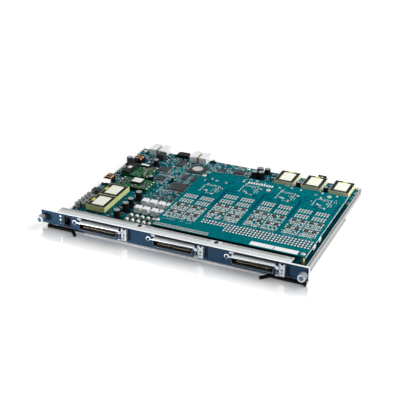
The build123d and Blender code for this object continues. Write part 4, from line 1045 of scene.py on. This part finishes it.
for x in steps(board_low.x + 3, board_high.x - 2, GRID_X):
    for y in steps(board_low.y + 24, board_high.y - 2, GRID_Y):
        px = x + dice.uniform(-0.7, 0.7)
        py = y + dice.uniform(-0.7, 0.7)
        upright = dice.random() < 0.5
        busy = 0.54 if py > board_low.y + BUSY_FROM else 0.4
        half_x, half_y = (0.8, 1.4) if upright else (1.4, 0.8)
        if dice.random() < busy and is_free(px, py, half_x, half_y, taken):
            length = 3.4 if dice.random() < 0.12 else 2.4
            dark = dice.random() < 0.4
            outline = dice.random() < 0.55
            base.chip(px, py, BOARD_TOP, length, length * 0.52, 0.7, upright, dark, outline)
print("main board chips:", len(base.ends.faces) // 12)

# %% [markdown]
# Rows of tracks and drawn outlines join the larger packages. Short parallel runs read as bus lines from any
# distance. Round the cans, and along the right edge under the daughter board, thin dark teal plates are
# painted shade.

# %% Main board: outlines of the packages, bus lines and painted shade plates
OUTLINE_OUT = 4.4
OUTLINE_W = 0.3
BUS_STEP = 1.1
BUS_LINES = [
    (112, 212, 26, 6, False), (108, 252, 22, 7, True), (160, 262, 20, 6, True), (118, 248, 30, 5, False),
    (186, 262, 30, 6, False), (210, 300, 40, 5, False), (160, 296, 26, 6, True), (112, 176, 14, 6, True),
    (222, 258, 14, 7, True), (150, 250, 16, 5, False),
]
bus = PartsList()
for low, high in solid_boxes("logic_chips") + solid_boxes("switch_chip"):
    w = high.x - low.x + OUTLINE_OUT
    d = high.y - low.y + OUTLINE_OUT
    cx, cy, _ = centre(low, high)
    for sign in (-1, 1):
        base.ink.box(cx, cy + sign * d / 2, BOARD_TOP, w, OUTLINE_W, INK)
        base.ink.box(cx + sign * w / 2, cy, BOARD_TOP, OUTLINE_W, d, INK)
for x0, y0, length, count, upright in BUS_LINES:
    x, y = spot(x0, y0)
    for k in range(count):
        bus.bar(upright, x, y, BOARD_TOP, length, 0.5, 0.025, 0.0, k * BUS_STEP)
shade_plates = PartsList()
# A dark teal plate along the right edge under the daughter board and a dark ring round each can are painted
# shade.
edge_long = deck_high.y - deck_low.y + 24.0
shade_plates.box(board_high.x - 6.5, (deck_low.y + deck_high.y) / 2, BOARD_TOP, 12.0, edge_long, 0.02)
for low, high in solid_boxes("can_capacitors"):
    cx, cy, _ = centre(low, high)
    shade_plates.plate(cx, cy, BOARD_TOP, (high.x - low.x) / 2 + 3.0, 0.015, 24)
shade_teal = moulded("painted_board_shade", rgb(0, 50, 56), rgb(2, 62, 67), 0.4, 0.5, 4200, 0.03, 0.0)
shade_plates.piece("board_shade_plates", shade_teal, "board_teal")
bus_teal = moulded("pale_track", rgb(70, 160, 164), rgb(110, 184, 186), 0.3, 0.42)
bus.piece("bus_lines", bus_teal, "board_teal")
base.pieces("main", capacitor_tan, tin)

# %% [markdown]
# ## Tops of the cans, screws and relays
# A can ends in a bare aluminium disc with a scored cross, which lets it open safely. The round headed screws
# have a cross recess, and the relays a shallow mark at one corner. The scores, the cross recesses and the
# relay marks are flat dark pieces, painted shade of the grooves and dimples.

# %% Can tops, screw recesses and relay marks
CAN_TURN = 0.4
SCREW_TURN = 0.3
tops = PartsList()
scores = PartsList()
for low, high in solid_boxes("can_capacitors"):
    cx, cy, _ = centre(low, high)
    r = (high.x - low.x) / 2
    tops.plate(cx, cy, high.z - 0.05, r * 0.84, 0.13, 28, 0.06)
    for turn in (CAN_TURN, CAN_TURN + math.pi / 2):
        scores.box(cx, cy, high.z + 0.06, r * 1.3, 0.28, 0.04, turn)
tops.piece("can_tops", can_top, "can")
for low, high in solid_boxes("board_screws"):
    cx, cy, _ = centre(low, high)
    for turn in (SCREW_TURN, SCREW_TURN + math.pi / 2):
        scores.box(cx, cy, high.z - 0.3, 2.9, 0.6, 0.33, turn)
for low, high in solid_boxes("line_relays"):
    scores.box(low.x + 1.6, low.y + 1.6, high.z - 0.01, 1.0, 0.35, 0.03)
# This dark finish is painted shade of the grooves and recesses.
recess = moulded("painted_recess_shade", rgb(40, 42, 44), rgb(62, 64, 66), 0.5, 0.6)
scores.piece("scored_shade_marks", recess, "chip_black")

# %% [markdown]
# ## Transformer trim
# A strip of brighter tape crosses the frame at one side of every coil, and rows of tinned pins stand out of
# the bobbin's ends.

# %% Tape tabs and bobbin pins
TAB_IN = 2.6
TAB_LONG = 8.0
TAB_WIDE = 4.6
TAB_H = 0.12
PINS = 6
PIN_PITCH = 4.8
PIN_OUT = 1.1
tabs = PartsList()
pins = PartsList()
for low, high in solid_boxes("transformer_cores"):
    cx, cy, _ = centre(low, high)
    if cx < 0:
        tabs.box(low.x + TAB_IN, cy, high.z, TAB_WIDE, TAB_LONG, TAB_H)
    else:
        tabs.box(cx, high.y - TAB_IN, high.z, TAB_LONG, TAB_WIDE, TAB_H)
    for y in (low.y - PIN_OUT, high.y + PIN_OUT):
        for k in range(PINS):
            pins.box(cx + (k - (PINS - 1) / 2) * PIN_PITCH, y, BOARD_TOP, 0.9, 1.4, 1.6)
tab_yellow = moulded("tape_tab", rgb(206, 200, 60), rgb(226, 220, 92), 0.32, 0.44)
tabs.piece("tape_tabs", tab_yellow, "tape")
pins.piece("bobbin_pins", tin, "steel")

# %% [markdown]
# ## Choke windings
# Each choke has four coils of thick enamelled wire. A ring per turn along the bar gives the ridged shine of
# wire, and every third place is left open, so the dark former shows between the turns.

# %% Wire turns
GROUP_TURNS = 3
WIRE_R = 0.45
turns = PartsList()
for low, high in solid_boxes("choke_windings"):
    cx, cy, cz = centre(low, high)
    count = int((high.y - low.y) / (2 * WIRE_R))
    for k in range(count):
        if k % GROUP_TURNS < GROUP_TURNS - 1:
            y = cy + (k - (count - 1) / 2) * 2 * WIRE_R
            turns.wire_turn(cx, y, cz, (high.x - low.x) / 2 - WIRE_R * 0.6, WIRE_R)
turns.piece("wire_turns", copper, "copper")

# %% [markdown]
# ## Converters
# The two green boards are packed with their own chips and fed by pins whose solder shows on top.

# %% Converter chips and solder
CONVERTER_STEP = 3.4
small = Passives()
solder = PartsList()
core_clear = keep_clear(["converter_cores"], 1.2)
for low, high in solid_boxes("converter_boards"):
    for x in steps(low.x + 2.4, high.x - 1.5, CONVERTER_STEP):
        for y in steps(low.y + 2.0, high.y - 1.5, CONVERTER_STEP):
            upright = dice.random() < 0.5
            if dice.random() < 0.66 and is_free(x, y, 1.3, 1.3, core_clear):
                length, tall = (3.6, 1.1) if dice.random() < 0.25 else (2.4, 0.7)
                small.chip(x, y, high.z, length, length * 0.55, tall, upright, dice.random() < 0.86)
for low, high in solid_boxes("converter_pins"):
    cx, cy, _ = centre(low, high)
    solder.plate(cx, cy, high.z + 1.6, 1.3, 0.5, 14, 0.35)
small.pieces("converter", capacitor_tan, dull_tin)
solder.piece("converter_solder", tin, "steel")

# %% [markdown]
# ## Knurled knobs
# The thumbscrews have a straight knurl for the fingers. Their front has a bright rim that is a painted
# highlight, a face painted darker as shade, and a driver slot painted dark as its shade. Fine ribs round
# the knob, the face and the slot ride on the screw's own body, so they turn and slide with it.

# %% Knurl ribs, faces and slots
KNURLS = 40
RIB_FROM = 1.2
RIB_TO = 8.8
RIB_SECTION = ((-0.05, -0.1), (0.0, 0.16), (0.05, -0.1))
DISC_H = 0.1
# The rim disc is a painted highlight and the smaller face disc is painted shade.
knob_rim_highlight = brushed("knob_rim_highlight", rgb(150, 158, 166), rgb(206, 212, 218), 0.3, 0.44, EVEN, 0.5)
knob_face_shade = brushed("knob_face_shade", rgb(72, 84, 100), rgb(120, 132, 148), 0.26, 0.4, EVEN, 0.5)
for side in ("left", "right"):
    screw = f"{side}_screw"
    low, high = box_mm(f"{side}_thumbscrew")
    cx, _, cz = centre(low, high)
    r = (high.x - low.x) / 2
    ribs = PartsList()
    for k in range(KNURLS):
        points = []
        for y in (low.y + RIB_FROM, low.y + RIB_TO):
            for turn, out in RIB_SECTION:
                a = 2 * math.pi * k / KNURLS + turn
                points.append((cx + (r + out) * math.cos(a), y, cz + (r + out) * math.sin(a)))
        ribs.prism(points, len(RIB_SECTION))
    ribs.piece(f"{side}_knurl", turned, "nickel", screw)
    for kind, mat, ahead, share in (("rim", knob_rim_highlight, 0.04, 0.97), ("face", knob_face_shade, 0.08, 0.66)):
        disc = PartsList()
        disc.dial(cx, low.y - ahead, cz, r * share, DISC_H)
        disc.piece(f"{side}_knob_{kind}", mat, "nickel", screw)
    # The slot is a flat dark piece, painted shade of the driver slot.
    driver_slot = PartsList()
    driver_slot.box(cx, low.y - 0.1, cz - r * 0.5, 1.5, 0.1, r)
    driver_slot.piece(f"{side}_knob_slot", recess, "chip_black", screw)

# %% [markdown]
# ## Connector detail
# The backplane blocks have a fine grid of sockets in their rear mouth and grooves on top. The console jack
# has a comb of eight spring contacts. A thin black bar guards the front half of each lower row of contacts,
# and behind it their bent up tips show as a row of bright ticks in the mouth. Over each shell the panel's
# cut-out leaves a dark gap, and a flat black bar on the panel is painted shade that stands for it.

# %% Sockets, grooves, spring contacts and painted gap shade
GRID_ROWS = 4
GRID_COLUMNS = 5
GRID_IN = 2.6
GRID_SPARE_X = 5.2
GRID_SPARE_Z = 5.6
GROOVES = 5
JACK_CONTACTS = 8
JACK_PITCH = 1.02
GUARD_DEEP = 4.0
GUARD_PAST = 1.0
GAP_WIDE = 72.0
GAP_DEEP = 0.2
GAP_TALL = 2.0
grid = PartsList()
grooves = PartsList()
for low, high in solid_boxes("backplane_blocks"):
    for row in range(GRID_ROWS):
        for column in range(GRID_COLUMNS):
            x = low.x + GRID_IN + column * (high.x - low.x - GRID_SPARE_X) / (GRID_COLUMNS - 1)
            z = low.z + GRID_IN + row * (high.z - low.z - GRID_SPARE_Z) / (GRID_ROWS - 1)
            grid.box(x, high.y - 6.0, z, 0.6, 5.0, 0.6)
    for column in range(GROOVES):
        x = low.x + (column + 1) * (high.x - low.x) / (GROOVES + 1)
        grooves.box(x, (low.y + high.y) / 2, high.z - 0.01, 0.22, (high.y - low.y) * 0.96, 0.02)
low, high = box_mm("rj_jack")
for k in range(JACK_CONTACTS):
    z = (low.z + high.z) / 2 + 0.5 + (k - (JACK_CONTACTS - 1) / 2) * JACK_PITCH
    grid.box(low.x + 1.2, low.y + 5.0, z, 0.4, 6.0, 0.45)
grid.piece("spring_contacts", dull_tin, "contact_gold")
guards = PartsList()
tips = PartsList()
gap_shades = PartsList()
contacts = solid_boxes("telco_contacts")
lowest = min(low.z for low, high in contacts)
for n in SOCKETS:
    body_low, body_high = box_mm(f"telco_body_{n}")
    row = [pair for pair in contacts if body_low.x < pair[0].x < body_high.x and pair[0].z < lowest + 1]
    x0 = min(low.x for low, high in row) - GUARD_PAST
    x1 = max(high.x for low, high in row) + GUARD_PAST
    front = row[0][0].y - 0.3
    guards.box((x0 + x1) / 2, front + GUARD_DEEP / 2, row[0][0].z + 0.01, x1 - x0, GUARD_DEEP, 0.6)
    for low, high in row:
        tips.box((low.x + high.x) / 2, front + GUARD_DEEP + 0.3, high.z - 0.05, 0.8, 0.5, 0.85)
    low, high = box_mm(f"telco_shell_{n}")
    # A flat black bar over each shell is painted shade of the cut-out's gap.
    gap_shades.box((low.x + high.x) / 2, panel_low.y, high.z, GAP_WIDE, GAP_DEEP, GAP_TALL)
gap_shades.piece("socket_gap_shades", black_mould, "black_plastic")
guards.piece("contact_guards", black_mould, "black_plastic")
tips.piece("contact_tips", gold, "contact_gold")
groove_grey = moulded("groove_shade", rgb(196, 198, 198), rgb(210, 212, 212), 0.5, 0.6)
grooves.piece("block_grooves", groove_grey, "white_plastic")

# %% [markdown]
# ## Grommets
# The two holes in the flange read as black ovals, larger than a bare hole would. A low black ring round each
# hole gives that, as a rubber grommet does, and the hole stays open in its middle.

# %% Rubber grommets of the flange
GROMMETS_ALONG = (161.9, 285.4)
GROMMET_BACK = 13.8
GROMMET_R = 3.3
GROMMET_HOLE_R = 1.8
GROMMET_H = 0.4
GROMMET_SINK = 0.02
grommets = PartsList()
flange_top = box_mm("top_flange")[1].z
for along in GROMMETS_ALONG:
    x, y = spot(along, GROMMET_BACK)
    grommets.ring(x, y, flange_top - GROMMET_SINK, GROMMET_R, GROMMET_HOLE_R, GROMMET_H)
rubber = moulded("grommet_rubber", rgb(6, 6, 7), rgb(14, 14, 16), 0.5, 0.66)
grommets.piece("flange_grommets", rubber, "black_plastic")
